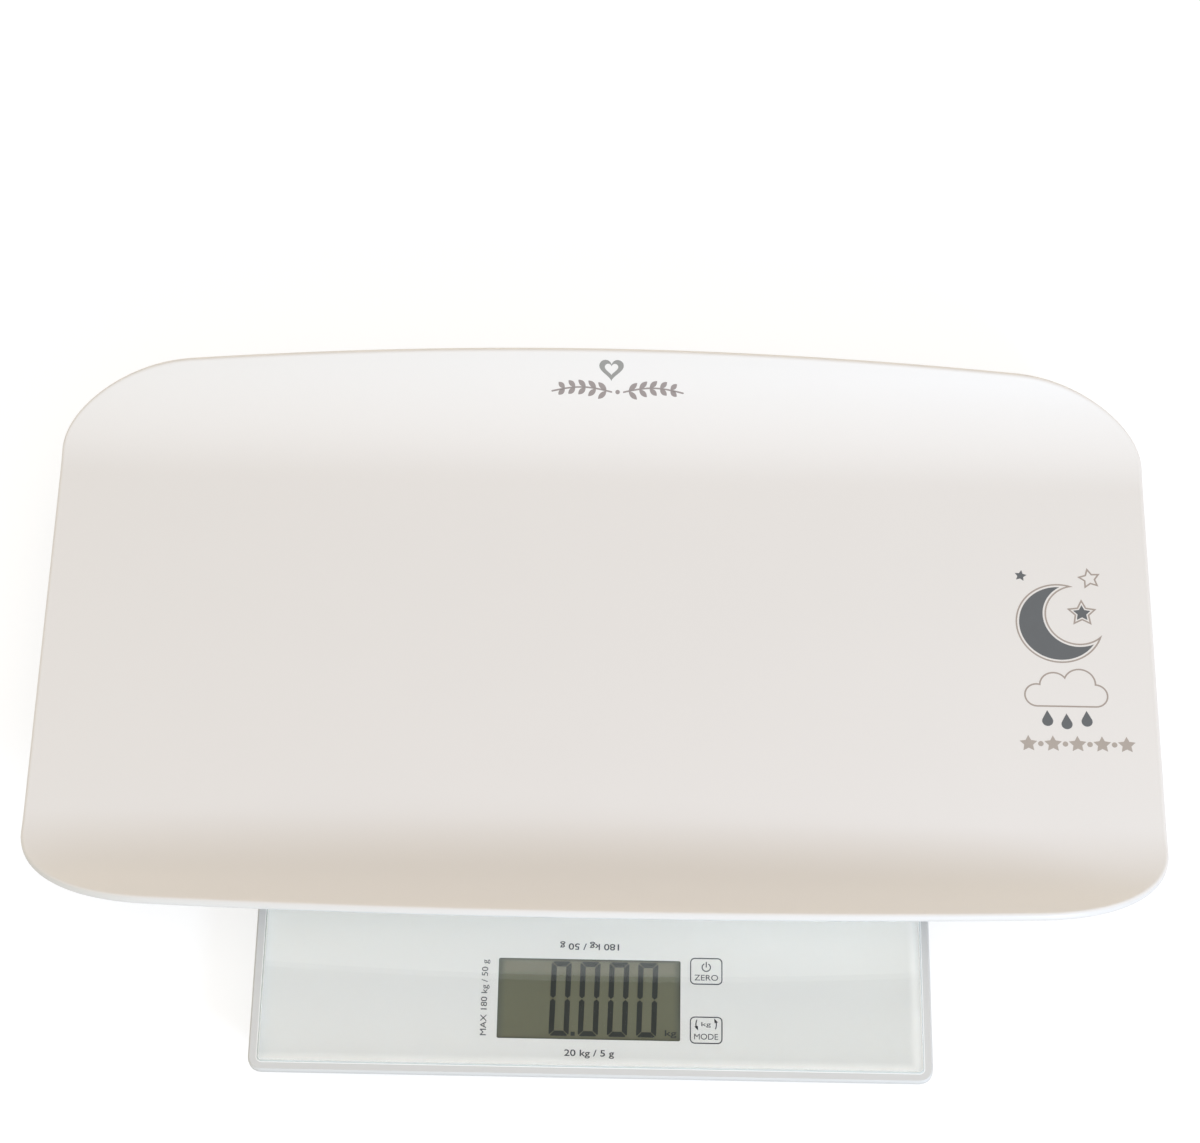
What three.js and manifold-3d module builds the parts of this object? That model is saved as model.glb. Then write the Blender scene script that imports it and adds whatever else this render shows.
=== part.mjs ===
// Digital baby weighing scale: a cradle tray that lies on a glass platform scale.
// Millimetres, +Z up, the display and keys face -Y.
// The origin is on the floor, under the middle of the box round the whole scale.
import * as THREE from 'three';
import { mergeVertices } from 'three/addons/utils/BufferGeometryUtils.js';
import Module from 'manifold-3d';

const wasm = await Module();
wasm.setup();

// Fits used throughout
const seatGap = 0.3;
const runningGap = 0.5;
const cutOverrun = 1;
const sunkDepth = 1;
const weldDistance = 0.0001;

// Faces on round and rounded forms
const roundSides = 24;
const smallRoundSides = 12;
const cornerSteps = 5;

// Glass platform
const glassSide = 300;
const glassThickness = 6;
const glassCorner = 2.2;
const glassBevel = 0.8;
const glassTop = 28;
const backingThickness = 0.3;
const backingMargin = 0.6;
const tapeThickness = 0.7;
const tapeWidth = 4;

// Moulded base under the glass
const baseBottom = 6.5;
const baseFloorThickness = 2.5;
const baseWall = 2.5;
const rimWidth = 3.6;
const rimGap = 0.4;
const rimDrop = 1;
const rimBevel = 0.7;
const baseTaper = 11;
const glassLedgeWidth = 6;
const baseRibThickness = 1.6;
const baseRibHeight = 7;
const baseRibSpread = 120;
const baseBackRibDistance = 75;
// Height and draw-in of the base wall, from the underside to the rim
const baseWallShares = [[0, 1], [0.06, 0.8], [0.24, 0.56], [0.7, 0.1], [0.84, 0], [0.96, 0]];

// Display, its window in the white print, and the printed touch keys
const windowWidth = 83;
const windowDepth = 38.2;
const windowCorner = 0.8;
const windowFrontMargin = 14;
const windowShift = -1.2;
const lcdBorder = 2.3;
const lcdThickness = 2.6;
const lcdLedge = 3;
const lcdFrameWall = 2.2;
const lcdFrameLip = 3;
const lcdFrameLipThickness = 1.2;
const keyWindowGap = 4.6;
const keyPitch = 28;
const keyWidth = 14.3;
const electrodeStem = 2;
const electrodeFlange = 1;

// Circuit board
const boardThickness = 1.6;
const boardRise = 5.1;
const boardFrontMargin = 9;
const boardDepth = 57;
const boardLeftMargin = 13.1;
const boardRightMargin = 25.5;
const boardRibGap = 5.6;
const boardCorner = 2;
const boardScrewInset = 4;
const screwHeadRadius = 2.6;
const screwHeadHeight = 1.8;
const screwShankRadius = 1.1;
const screwLength = 5;
const screwBossRadius = 3.2;
const chipSide = 12;
const chipHeight = 2;
const capacitorRadius = 2.5;
const capacitorHeight = 3.4;
const headerWidth = 8;
const headerDepth = 5;
const headerHeight = 2.4;
const headerWall = 0.8;
const partsSpacing = 17;

// Load cells, the cups that hold them and their rubber feet
const footInset = 42;
const footHeight = 2.5;
const footRadius = 19;
const footChamfer = 0.8;
const cellSide = 30;
const cellThickness = 3;
const cellCorner = 4;
const cellFrameWidth = 5;
const cellSlotWidth = 1.6;
const cellTongueWidth = 11;
const cellTongueGap = 6;
const gaugeLength = 5;
const gaugeWidth = 4;
const gaugeHeight = 0.6;
const cupWall = 2.2;
const cupFloor = 2.2;
const cupLedgeInner = 10.8;
const cupLedgeWidth = 3.8;
const cupLedgeHeight = 3.7;
const podWall = 2.2;
const podRoof = 2;
const podBossRadius = 4;
const podBossHeight = 5.3;

// Battery bay with three AAA cells and its door
const batteryRadius = 5.25;
const batteryLength = 44.5;
const batteryNubRadius = 1.9;
const batteryNubLength = 0.8;
const batteryEndRound = 0.6;
const batteryCount = 3;
const batteryPitch = 11;
const bayEndRoom = 4.2;
const baySideRoom = 0.8;
const bayWall = 1.6;
const bayBack = 15;
const contactThickness = 0.5;
const contactWidth = 8;
const contactHeight = 8;
const doorThickness = 1.8;
const doorBorder = 4;
const doorCorner = 2.5;
const doorHingeBevel = 1.2;
const doorHingeGap = 0.8;
const doorTongueLength = 3;
const doorTongueWidth = 7;
const doorTongueThickness = 1;
const doorTongueSpread = 24;
const doorArmWidth = 1.5;
const doorLatchWidth = 12;
const doorLatchHeight = 3;
const doorLatchThickness = 1.2;
const doorGripWidth = 10;
const doorGripDepth = 0.8;
const doorTongueHeadroom = 2.4;

// Unit button on the underside and its switch
const buttonRadius = 4;
const buttonFlange = 1.2;
const buttonFlangeThickness = 0.8;
const buttonProud = 0.6;
const buttonTravel = 0.6;
const buttonStemRadius = 1.6;
const buttonStemLength = 1.4;
const buttonColumn = -30;
const switchSide = 7;
const switchRoof = 1;

// Leads
const cellLeadRadius = 1.2;
const batteryLeadRadius = 0.8;
const leadSides = 6;
const leadSteps = 14;
const leadEndSpread = 14;

// Cradle tray
const trayHalfLength = 264;
const trayHalfDepth = 144.6;
const trayBow = 5.3;
const trayCornerLength = 69;
const trayCornerDepth = 39.3;
const trayThickness = 4;
const trayEdgeRound = 1.2;
const trayWallWidth = 56;
const trayWallAngle = THREE.MathUtils.degToRad(55);
const trayFloorRise = 12;
const traySetBack = 53.5;
const trayRibThickness = 2.2;
const trayRibHeight = 4.5;
const trayRibEndMargin = 40;
const trayRibOuterSpread = 420;
const trayRibReachShare = 0.6;
const trayRibFootShare = 0.22;
const padSpreadX = 230;
const padSpreadY = 150;
const padRadius = 9;
const padThickness = 3.6;
const padPocketDepth = 1.6;
const padBossWall = 2.4;
const trayMiddleSteps = 10;
const trayCornerSteps = 7;
const trayWallSteps = 6;
const trayFloorSteps = 2;

// Heights worked out from the sizes above
const glassBottom = glassTop - glassThickness;
const backingBottom = glassBottom - seatGap - backingThickness;
const tapeBottom = backingBottom - seatGap - tapeThickness;
const ledgeTop = tapeBottom - seatGap;
const rimTop = glassTop - rimDrop;
const baseFloorTop = baseBottom + baseFloorThickness;
const lcdTop = backingBottom - seatGap;
const lcdBottom = lcdTop - lcdThickness;
const boardBottom = baseFloorTop + boardRise;
const boardTop = boardBottom + boardThickness;
const underBoard = boardBottom - seatGap;
const overBoard = boardTop + seatGap;
const buttonFlangeBottom = baseFloorTop + seatGap;
const buttonFlangeTop = buttonFlangeBottom + buttonFlangeThickness;
const cupBottom = footHeight + seatGap;
const cupFloorTop = cupBottom + cupFloor;
const cellBottom = cupFloorTop + cupLedgeHeight + seatGap;
const cellTop = cellBottom + cellThickness;
const cupTop = cellTop;
const podCeiling = cellTop + seatGap + podBossHeight;
const podTop = podCeiling + podRoof;
const doorBottom = baseBottom + seatGap;
const doorTop = doorBottom + doorThickness;
const batteryAxisHeight = doorTop + seatGap + batteryRadius;
const bayCeiling = batteryAxisHeight + batteryRadius + seatGap;
const bayTop = bayCeiling + bayWall;
const trayFloorTop = glassTop + trayFloorRise;
const trayFloorBottom = trayFloorTop - trayThickness;
const trayRibBottom = trayFloorBottom - trayRibHeight;
const padBottom = glassTop + seatGap;
const padTop = padBottom + padThickness;
const padBossBottom = padTop + seatGap - padPocketDepth;

// Plan sizes worked out from the sizes above
const glassHalf = glassSide / 2;
const rimInnerHalf = glassHalf + rimGap;
const rimOuterHalf = rimInnerHalf + rimWidth;
const rimCorner = glassCorner + rimGap + rimWidth;
const cavityHalf = glassHalf - glassLedgeWidth;
const windowMiddle = -glassHalf + windowFrontMargin + windowDepth / 2;
const keyColumn = windowShift + windowWidth / 2 + keyWindowGap + keyWidth / 2;
const lcdWidth = windowWidth + 2 * lcdBorder;
const lcdDepth = windowDepth + 2 * lcdBorder;
const boardFront = -glassHalf + boardFrontMargin;
const boardBack = boardFront + boardDepth;
const boardLeft = windowWidth / 2 - windowShift + boardLeftMargin;
const boardRight = windowWidth / 2 + windowShift + boardRightMargin;
const baseFrontRibY = boardBack + boardRibGap;
const footHalfSpread = glassHalf - footInset;
const cellHalfDiagonal = Math.SQRT2 * (cellSide / 2 - cellCorner) + cellCorner;
const cupInnerRadius = cellHalfDiagonal + runningGap;
const cupRadius = cupInnerRadius + cupWall;
const podInnerRadius = cupRadius + runningGap + runningGap;
const podRadius = podInnerRadius + podWall;
const bayHalfLength = batteryLength / 2 + bayEndRoom;
const bayHalfDepth = (batteryCount - 1) * batteryPitch / 2 + batteryRadius + baySideRoom;
const doorHalfLength = bayHalfLength + doorBorder;
const doorHalfDepth = bayHalfDepth + doorBorder;
const trayWallRadius = trayWallWidth / Math.sin(trayWallAngle);
const trayFlatHalf = trayHalfDepth - trayWallWidth;
const trayEdgeSoftening = trayEdgeRound * (1 - Math.SQRT1_2);
const trayReach = trayHalfDepth - trayEdgeSoftening * Math.cos(trayWallAngle)
  + (trayThickness - trayEdgeSoftening) * Math.sin(trayWallAngle);

// The platform and the tray share the middle of the box in X and are set apart in Y
const platformY = (rimOuterHalf - traySetBack - trayReach) / 2;
const trayY = platformY + traySetBack;

const corners = [
  ['front_left', -1, -1],
  ['front_right', 1, -1],
  ['back_left', -1, 1],
  ['back_right', 1, 1],
];

// Finishes
const finish = (color, roughness, metalness = 0) =>
  new THREE.MeshStandardMaterial({ color, roughness, metalness });
const trayWhite = finish('#ebe8e5', 0.42);
const clearGlass = finish('#dfe6e3', 0.05);
const printWhite = finish('#e3e5e4', 0.5);
const baseWhite = finish('#d6d5d4', 0.5);
const tapeGrey = finish('#9a9a98', 0.9);
const lcdGrey = finish('#6b6c5b', 0.25);
const frameBlack = finish('#2c2d2e', 0.6);
const boardGreen = finish('#2f6b45', 0.55);
const chipBlack = finish('#202122', 0.5);
const contactMetal = finish('#c9b98a', 0.35, 0.9);
const steel = finish('#a9adb0', 0.35, 0.9);
const rubberGrey = finish('#4b4c4e', 0.85);
const padWhite = finish('#d9d8d4', 0.8);
const batteryCoat = finish('#3f7f6b', 0.4, 0.2);
const leadRed = finish('#a83a32', 0.6);
const leadGrey = finish('#8d8f92', 0.6);

// Plan outlines

function roundedRect(halfX, halfY, radius, middleX = 0, middleY = 0) {
  const points = [];
  for (let quarter = 0; quarter < 4; quarter++) {
    const signX = quarter === 0 || quarter === 3 ? 1 : -1;
    const signY = quarter < 2 ? 1 : -1;
    for (let step = 0; step <= cornerSteps; step++) {
      const angle = (quarter + step / cornerSteps) * Math.PI / 2;
      points.push(new THREE.Vector2(
        middleX + signX * (halfX - radius) + radius * Math.cos(angle),
        middleY + signY * (halfY - radius) + radius * Math.sin(angle)));
    }
  }
  return points;
}

// Solids from outlines

function loft(sections) {
  const count = sections[0].points.length;
  const positions = [];
  const index = [];
  for (const { points, z } of sections) {
    for (const point of points) positions.push(point.x, point.y, z);
  }
  for (let level = 0; level + 1 < sections.length; level++) {
    for (let i = 0; i < count; i++) {
      const a = level * count + i;
      const b = level * count + (i + 1) % count;
      index.push(a, b, b + count, a, b + count, a + count);
    }
  }
  const last = (sections.length - 1) * count;
  const bottomFaces = THREE.ShapeUtils.triangulateShape(sections[0].points, []);
  const topFaces = THREE.ShapeUtils.triangulateShape(sections[sections.length - 1].points, []);
  for (const [a, b, c] of bottomFaces) index.push(a, c, b);
  for (const [a, b, c] of topFaces) index.push(last + a, last + b, last + c);
  return indexedGeometry(positions, index);
}

function indexedGeometry(positions, index) {
  const geometry = new THREE.BufferGeometry();
  geometry.setAttribute('position', new THREE.Float32BufferAttribute(positions, 3));
  geometry.setIndex(index);
  return geometry;
}

function slab(outline, bottom, top, holes = []) {
  const shape = new THREE.Shape(outline);
  shape.holes = holes.map((hole) => new THREE.Path(hole));
  const geometry = new THREE.ExtrudeGeometry(shape, { depth: top - bottom, bevelEnabled: false });
  return geometry.translate(0, 0, bottom);
}

function block(x0, x1, y0, y1, z0, z1) {
  const geometry = new THREE.BoxGeometry(x1 - x0, y1 - y0, z1 - z0);
  return geometry.translate((x0 + x1) / 2, (y0 + y1) / 2, (z0 + z1) / 2);
}

function disc(radius, bottom, top, x = 0, y = 0, sides = roundSides) {
  const geometry = new THREE.CylinderGeometry(radius, radius, top - bottom, sides);
  return geometry.rotateX(Math.PI / 2).translate(x, y, (bottom + top) / 2);
}

function spin(profile, sides = roundSides) {
  const points = profile.map(([radius, z]) => new THREE.Vector2(radius, z));
  return new THREE.LatheGeometry(points, sides).rotateX(Math.PI / 2);
}

// A profile in the Y-Z plane, drawn as [y, z], made into a wall of some thickness across X
function crossWall(profile, middleX, thickness) {
  const shape = new THREE.Shape(profile.map(([y, z]) => new THREE.Vector2(y, z)));
  const geometry = new THREE.ExtrudeGeometry(shape, { depth: thickness, bevelEnabled: false });
  return geometry.rotateX(Math.PI / 2).rotateZ(Math.PI / 2).translate(middleX - thickness / 2, 0, 0);
}

// A profile in the X-Z plane, drawn as [x, z], made into a wall of some thickness across Y
function lengthWall(profile, middleY, thickness) {
  const shape = new THREE.Shape(profile.map(([x, z]) => new THREE.Vector2(x, z)));
  const geometry = new THREE.ExtrudeGeometry(shape, { depth: thickness, bevelEnabled: false });
  return geometry.rotateX(Math.PI / 2).translate(0, middleY + thickness / 2, 0);
}

function tube(route, radius) {
  const points = route.map(([x, y, z]) => new THREE.Vector3(x, y, z));
  const ring = [];
  for (let i = 0; i < leadSides; i++) {
    const angle = 2 * Math.PI * i / leadSides;
    ring.push(new THREE.Vector2(radius * Math.cos(angle), radius * Math.sin(angle)));
  }
  return new THREE.ExtrudeGeometry(new THREE.Shape(ring), {
    steps: leadSteps,
    extrudePath: new THREE.CatmullRomCurve3(points, false, 'centripetal'),
    bevelEnabled: false,
  });
}

// Joins and cuts

function toSolid(geometry) {
  const bare = new THREE.BufferGeometry();
  bare.setAttribute('position', geometry.attributes.position);
  if (geometry.index) bare.setIndex(geometry.index);
  const merged = mergeVertices(bare, weldDistance);
  const corner = merged.index.array;
  const triangles = [];
  for (let i = 0; i < corner.length; i += 3) {
    const [a, b, c] = [corner[i], corner[i + 1], corner[i + 2]];
    if (a !== b && b !== c && c !== a) triangles.push(a, b, c);
  }
  return new wasm.Manifold(new wasm.Mesh({
    numProp: 3,
    vertProperties: new Float32Array(merged.attributes.position.array),
    triVerts: new Uint32Array(triangles),
  }));
}

function toGeometry(solid) {
  const mesh = solid.getMesh();
  return indexedGeometry(Array.from(mesh.vertProperties), Array.from(mesh.triVerts));
}

const join = (...geometries) =>
  toGeometry(geometries.map(toSolid).reduce((whole, next) => whole.add(next)));

const carve = (geometry, ...cuts) =>
  toGeometry(cuts.map(toSolid).reduce((rest, cut) => rest.subtract(cut), toSolid(geometry)));

// Scene graph

const scale = new THREE.Group();
const platform = new THREE.Group();
const tray = new THREE.Group();
platform.position.y = platformY;
tray.position.y = trayY;
scale.add(platform, tray);

function place(group, name, geometry, material, x = 0, y = 0, z = 0) {
  const mesh = new THREE.Mesh(geometry, material);
  mesh.name = name;
  mesh.position.set(x, y, z);
  group.add(mesh);
}

// Glass, its white print and the tape that bonds them to the base

function glassPlate() {
  const inset = glassHalf - glassBevel;
  const insetCorner = glassCorner - glassBevel;
  return loft([
    { points: roundedRect(inset, inset, insetCorner), z: glassBottom },
    { points: roundedRect(glassHalf, glassHalf, glassCorner), z: glassBottom + glassBevel },
    { points: roundedRect(glassHalf, glassHalf, glassCorner), z: glassTop - glassBevel },
    { points: roundedRect(inset, inset, insetCorner), z: glassTop },
  ]);
}

function printedBacking() {
  const half = glassHalf - backingMargin;
  const outline = roundedRect(half, half, glassCorner - backingMargin);
  const window = roundedRect(windowWidth / 2, windowDepth / 2, windowCorner, windowShift, windowMiddle);
  return slab(outline, backingBottom, backingBottom + backingThickness, [window]);
}

function glassTape() {
  const middle = (cavityHalf + rimInnerHalf) / 2;
  const [inner, outer] = [middle - tapeWidth / 2, middle + tapeWidth / 2];
  return slab(
    roundedRect(outer, outer, glassCorner), tapeBottom, tapeBottom + tapeThickness,
    [roundedRect(inner, inner, glassCorner)]);
}

// Routes of the leads, in the platform's own frame

const leadHeight = overBoard + cellLeadRadius;
const leadLanding = (boardBack + windowMiddle + lcdDepth / 2 + seatGap + lcdFrameWall) / 2;
const floorRunHeight = baseFloorTop + runningGap + seatGap + cellLeadRadius;
const podDoorHeight = cellTop + cellLeadRadius + seatGap;

function cellLeadRoute(sideX, sideY) {
  const podX = sideX * footHalfSpread;
  const podY = sideY * footHalfSpread;
  const startX = podX - sideX * cellSide / 3;
  const aisleX = podX - sideX * (podRadius + cellLeadRadius * 6);
  const landingX = (boardRight - boardLeft) / 2 + sideX * leadEndSpread * (sideY < 0 ? 3 : 2);
  const climbY = boardBack + cellLeadRadius * 7;
  const turnY = climbY + cellLeadRadius * 8;
  const points = [
    [startX, podY, podDoorHeight],
    [podX - sideX * (cupRadius + podWall), podY, podDoorHeight],
    [aisleX, podY - sideY * cellLeadRadius * 4, (podDoorHeight + floorRunHeight) / 2],
  ];
  if (sideY > 0) {
    points.push([aisleX, podY - sideY * podRadius, floorRunHeight]);
    points.push([aisleX, podY / 2, floorRunHeight]);
    points.push([aisleX, 0, floorRunHeight]);
  }
  points.push([aisleX, turnY + (sideY > 0 ? cellLeadRadius * 12 : 0), floorRunHeight]);
  points.push([landingX + sideX * cellLeadRadius * 4, turnY, (floorRunHeight + leadHeight) / 2]);
  points.push([landingX, climbY, leadHeight]);
  points.push([landingX, leadLanding, leadHeight]);
  return points;
}

function batteryLeadRoute(side) {
  const x = side * leadEndSpread / 2;
  const bayFront = bayBack - doorHalfDepth - bayWall;
  const height = overBoard + batteryLeadRadius;
  const runHeight = baseFloorTop + runningGap + seatGap + batteryLeadRadius;
  return [
    [x, bayFront - seatGap, runHeight],
    [x, (bayFront + boardBack) / 2, runHeight],
    [x, boardBack + batteryLeadRadius * 16, runHeight],
    [x, boardBack + batteryLeadRadius * 10, (runHeight + height) / 2],
    [x, boardBack + batteryLeadRadius * 4, height],
    [x, leadLanding, height],
  ];
}

const cellLeadRoutes = corners.map(([, sideX, sideY]) => cellLeadRoute(sideX, sideY));
const batteryLeadRoutes = [-1, 1].map(batteryLeadRoute);

// Moulded base: tapered dish, glass ledge, ribs, load-cell pods, battery bay and bosses

const boardScrews = [-boardLeft + boardScrewInset, boardRight - boardScrewInset].flatMap((x) =>
  [boardFront + boardScrewInset, boardBack - boardScrewInset].map((y) => [x, y]));

function baseDish() {
  const height = rimTop - baseBottom;
  const sections = baseWallShares.map(([heightShare, taperShare]) => {
    const half = rimOuterHalf - taperShare * baseTaper;
    return { points: roundedRect(half, half, rimCorner), z: baseBottom + heightShare * height };
  });
  const lip = rimOuterHalf - rimBevel;
  sections.push({ points: roundedRect(lip, lip, rimCorner - rimBevel), z: rimTop });
  const cavity = roundedRect(cavityHalf, cavityHalf, rimCorner - baseWall);
  const seat = roundedRect(rimInnerHalf, rimInnerHalf, glassCorner + rimGap);
  return carve(
    loft(sections),
    slab(cavity, baseFloorTop, rimTop + cutOverrun),
    slab(seat, ledgeTop, rimTop + cutOverrun));
}

function baseRibs() {
  const half = baseRibThickness / 2;
  const bottom = baseFloorTop - sunkDepth;
  const top = baseFloorTop + baseRibHeight;
  const end = cavityHalf + sunkDepth;
  const alongX = (y) => block(-end, end, y - half, y + half, bottom, top);
  const alongY = (x, from) => block(x - half, x + half, from, end, bottom, top);
  return [
    alongX(baseFrontRibY),
    alongX(baseBackRibDistance),
    alongX(footHalfSpread),
    alongY(-footHalfSpread, -end),
    alongY(footHalfSpread, -end),
    alongY(-baseRibSpread / 2, baseFrontRibY),
    alongY(baseRibSpread / 2, baseFrontRibY),
  ];
}

function baseShell() {
  const bayX = doorHalfLength + runningGap + bayWall;
  const bayY = doorHalfDepth + runningGap + bayWall;
  const under = baseBottom - cutOverrun;
  const pods = corners.map(([, sideX, sideY]) =>
    disc(podRadius, baseFloorTop - sunkDepth, podTop, sideX * footHalfSpread, sideY * footHalfSpread));
  const bosses = boardScrews.map(([x, y]) =>
    disc(screwBossRadius, baseFloorTop - sunkDepth, underBoard, x, y, smallRoundSides));
  const bay = slab(roundedRect(bayX, bayY, doorCorner, 0, bayBack), baseBottom, bayTop);
  const solid = join(baseDish(), ...baseRibs(), ...pods, ...bosses, bay);

  const podHollows = corners.map(([, sideX, sideY]) =>
    disc(podInnerRadius, under, podCeiling, sideX * footHalfSpread, sideY * footHalfSpread));
  const screwBores = boardScrews.map(([x, y]) =>
    disc(screwShankRadius + seatGap, baseFloorTop, boardBottom, x, y, smallRoundSides));
  const batteryHollow = slab(
    roundedRect(bayHalfLength, bayHalfDepth, doorCorner, 0, bayBack), under, bayCeiling);
  const doorRecess = block(
    -doorHalfLength - doorHingeGap, doorHalfLength + runningGap,
    bayBack - doorHalfDepth - runningGap, bayBack + doorHalfDepth + runningGap,
    under, doorTop + seatGap);
  const hingeEdge = -doorHalfLength - doorHingeGap;
  const tongueSlots = [-1, 1].map((side) => {
    const middle = bayBack + side * doorTongueSpread / 2;
    const half = doorTongueWidth / 2 + runningGap;
    return block(
      hingeEdge - doorTongueLength - runningGap, -bayHalfLength + cutOverrun,
      middle - half, middle + half,
      doorTop, baseFloorTop + doorTongueHeadroom + doorTongueThickness);
  });
  const latchNotch = block(
    bayHalfLength - cutOverrun, doorHalfLength + runningGap,
    bayBack - doorLatchWidth / 2 - runningGap, bayBack + doorLatchWidth / 2 + runningGap,
    doorTop, doorTop + doorLatchHeight + runningGap);
  const buttonHole = disc(
    buttonRadius + runningGap, under, baseFloorTop + cutOverrun,
    buttonColumn, windowMiddle, smallRoundSides);
  const leadNotches = cellLeadRoutes.map((route) => tube(route, cellLeadRadius + runningGap));
  const batteryNotches = batteryLeadRoutes.map((route) => tube(route, batteryLeadRadius + runningGap));
  const hollowed = carve(
    solid, ...podHollows, ...screwBores, batteryHollow, doorRecess, ...tongueSlots, latchNotch,
    buttonHole, ...leadNotches, ...batteryNotches);
  const podBosses = corners.map(([, sideX, sideY]) =>
    disc(podBossRadius, cellTop + seatGap, podCeiling + sunkDepth,
      sideX * footHalfSpread, sideY * footHalfSpread, smallRoundSides));
  return join(hollowed, ...podBosses);
}

// Display

function lcdPanel() {
  const [halfX, halfY] = [lcdWidth / 2, lcdDepth / 2];
  const middle = lcdBottom + lcdThickness / 2;
  return join(
    block(-halfX, halfX, -halfY, halfY, middle, lcdTop),
    block(-halfX, halfX, -halfY, halfY - lcdLedge, lcdBottom, middle + seatGap));
}

function lcdFrame() {
  const [pocketX, pocketY] = [lcdWidth / 2 + seatGap, lcdDepth / 2 + seatGap];
  const [outerX, outerY] = [pocketX + lcdFrameWall, pocketY + lcdFrameWall];
  const bottom = overBoard;
  const floor = lcdBottom - seatGap;
  return carve(
    block(-outerX, outerX, -outerY, outerY, bottom, lcdTop - seatGap),
    block(-pocketX, pocketX, -pocketY, pocketY, floor, lcdTop),
    block(-pocketX + lcdFrameLip, pocketX - lcdFrameLip, -pocketY + lcdFrameLip, pocketY - lcdFrameLip,
      bottom - cutOverrun, floor + cutOverrun),
    block(-pocketX, pocketX, -pocketY, pocketY, bottom - cutOverrun, floor - lcdFrameLipThickness));
}

function touchElectrode() {
  const [bottom, top] = [overBoard, backingBottom - seatGap];
  const radius = keyWidth / 3;
  return spin([
    [0, bottom],
    [radius - electrodeFlange, bottom],
    [radius - electrodeFlange, bottom + electrodeFlange],
    [electrodeStem, bottom + electrodeFlange],
    [electrodeStem, top - electrodeFlange],
    [radius, top - electrodeFlange],
    [radius, top],
    [0, top],
  ], smallRoundSides);
}

// Circuit board

function mainBoard() {
  const middleX = (boardRight - boardLeft) / 2;
  const middleY = (boardFront + boardBack) / 2;
  const outline = roundedRect(
    (boardRight + boardLeft) / 2, boardDepth / 2, boardCorner, middleX, middleY);
  const [under, over] = [boardBottom - cutOverrun, boardTop + cutOverrun];
  const holes = boardScrews.map(([x, y]) =>
    disc(screwShankRadius + seatGap, under, over, x, y, smallRoundSides));
  return carve(slab(outline, boardBottom, boardTop), ...holes);
}

function controlChip() {
  const half = chipSide / 2;
  return block(-half, half, -half, half, underBoard - chipHeight, underBoard);
}

function capacitor() {
  return disc(capacitorRadius, underBoard - capacitorHeight, underBoard, 0, 0, smallRoundSides);
}

function boardHeader() {
  const [halfX, halfY] = [headerWidth / 2, headerDepth / 2];
  const body = block(-halfX, halfX, -halfY, halfY, overBoard, overBoard + headerHeight);
  const socket = block(
    -halfX + headerWall, halfX - headerWall, -halfY + headerWall, halfY - headerWall,
    overBoard + headerWall, overBoard + headerHeight + cutOverrun);
  return carve(body, socket);
}

function boardScrew() {
  return spin([
    [0, overBoard - screwLength],
    [screwShankRadius, overBoard - screwLength],
    [screwShankRadius, overBoard],
    [screwHeadRadius, overBoard],
    [screwHeadRadius, overBoard + screwHeadHeight / 2],
    [screwHeadRadius / 2, overBoard + screwHeadHeight],
    [0, overBoard + screwHeadHeight],
  ], smallRoundSides);
}

// Load cell: a square steel plate with a tongue cut free inside a frame

function loadCell() {
  const half = cellSide / 2;
  const inner = half - cellFrameWidth;
  const slotBack = inner - cellSlotWidth;
  const tongue = cellTongueWidth / 2;
  const slot = [
    [-inner, -inner], [inner, -inner], [inner, inner], [tongue, inner], [tongue, slotBack],
    [slotBack, slotBack], [slotBack, -slotBack], [-slotBack, -slotBack], [-slotBack, slotBack],
    [-tongue, slotBack], [-tongue, inner], [-inner, inner],
  ].map(([x, y]) => new THREE.Vector2(x, y));
  const waist = [-1, 1].map((side) => block(
    side < 0 ? -slotBack - sunkDepth : tongue, side < 0 ? -tongue : slotBack + sunkDepth,
    cellTongueGap / 2, slotBack + sunkDepth, cellBottom - cutOverrun, cellTop + cutOverrun));
  const plate = slab(roundedRect(half, half, cellCorner), cellBottom, cellTop, [slot]);
  const gauge = block(
    -gaugeWidth / 2, gaugeWidth / 2, inner - gaugeLength, inner,
    cellTop - gaugeHeight, cellTop + gaugeHeight);
  return join(carve(plate, ...waist), gauge);
}

function footCup() {
  const ledgeOuter = cupLedgeInner + cupLedgeWidth;
  const ledgeTopHeight = cupFloorTop + cupLedgeHeight;
  return spin([
    [0, cupBottom],
    [cupRadius - footChamfer, cupBottom],
    [cupRadius, cupBottom + footChamfer],
    [cupRadius, cupTop],
    [cupInnerRadius, cupTop],
    [cupInnerRadius, cupFloorTop],
    [ledgeOuter, cupFloorTop],
    [ledgeOuter, ledgeTopHeight],
    [cupLedgeInner, ledgeTopHeight],
    [cupLedgeInner, cupFloorTop],
    [0, cupFloorTop],
  ]);
}

function rubberFoot() {
  return spin([
    [0, 0],
    [footRadius - footChamfer, 0],
    [footRadius, footChamfer],
    [footRadius, footHeight],
    [0, footHeight],
  ]);
}

// Batteries, their contacts and the door

function battery(direction) {
  const half = batteryLength / 2;
  const shoulder = half - batteryNubLength;
  const geometry = spin([
    [0, -half],
    [batteryRadius - batteryEndRound, -half],
    [batteryRadius, -half + batteryEndRound],
    [batteryRadius, shoulder - batteryEndRound],
    [batteryRadius - batteryEndRound, shoulder],
    [batteryNubRadius, shoulder],
    [batteryNubRadius, half],
    [0, half],
  ], smallRoundSides);
  return geometry.rotateY(direction * Math.PI / 2);
}

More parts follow.
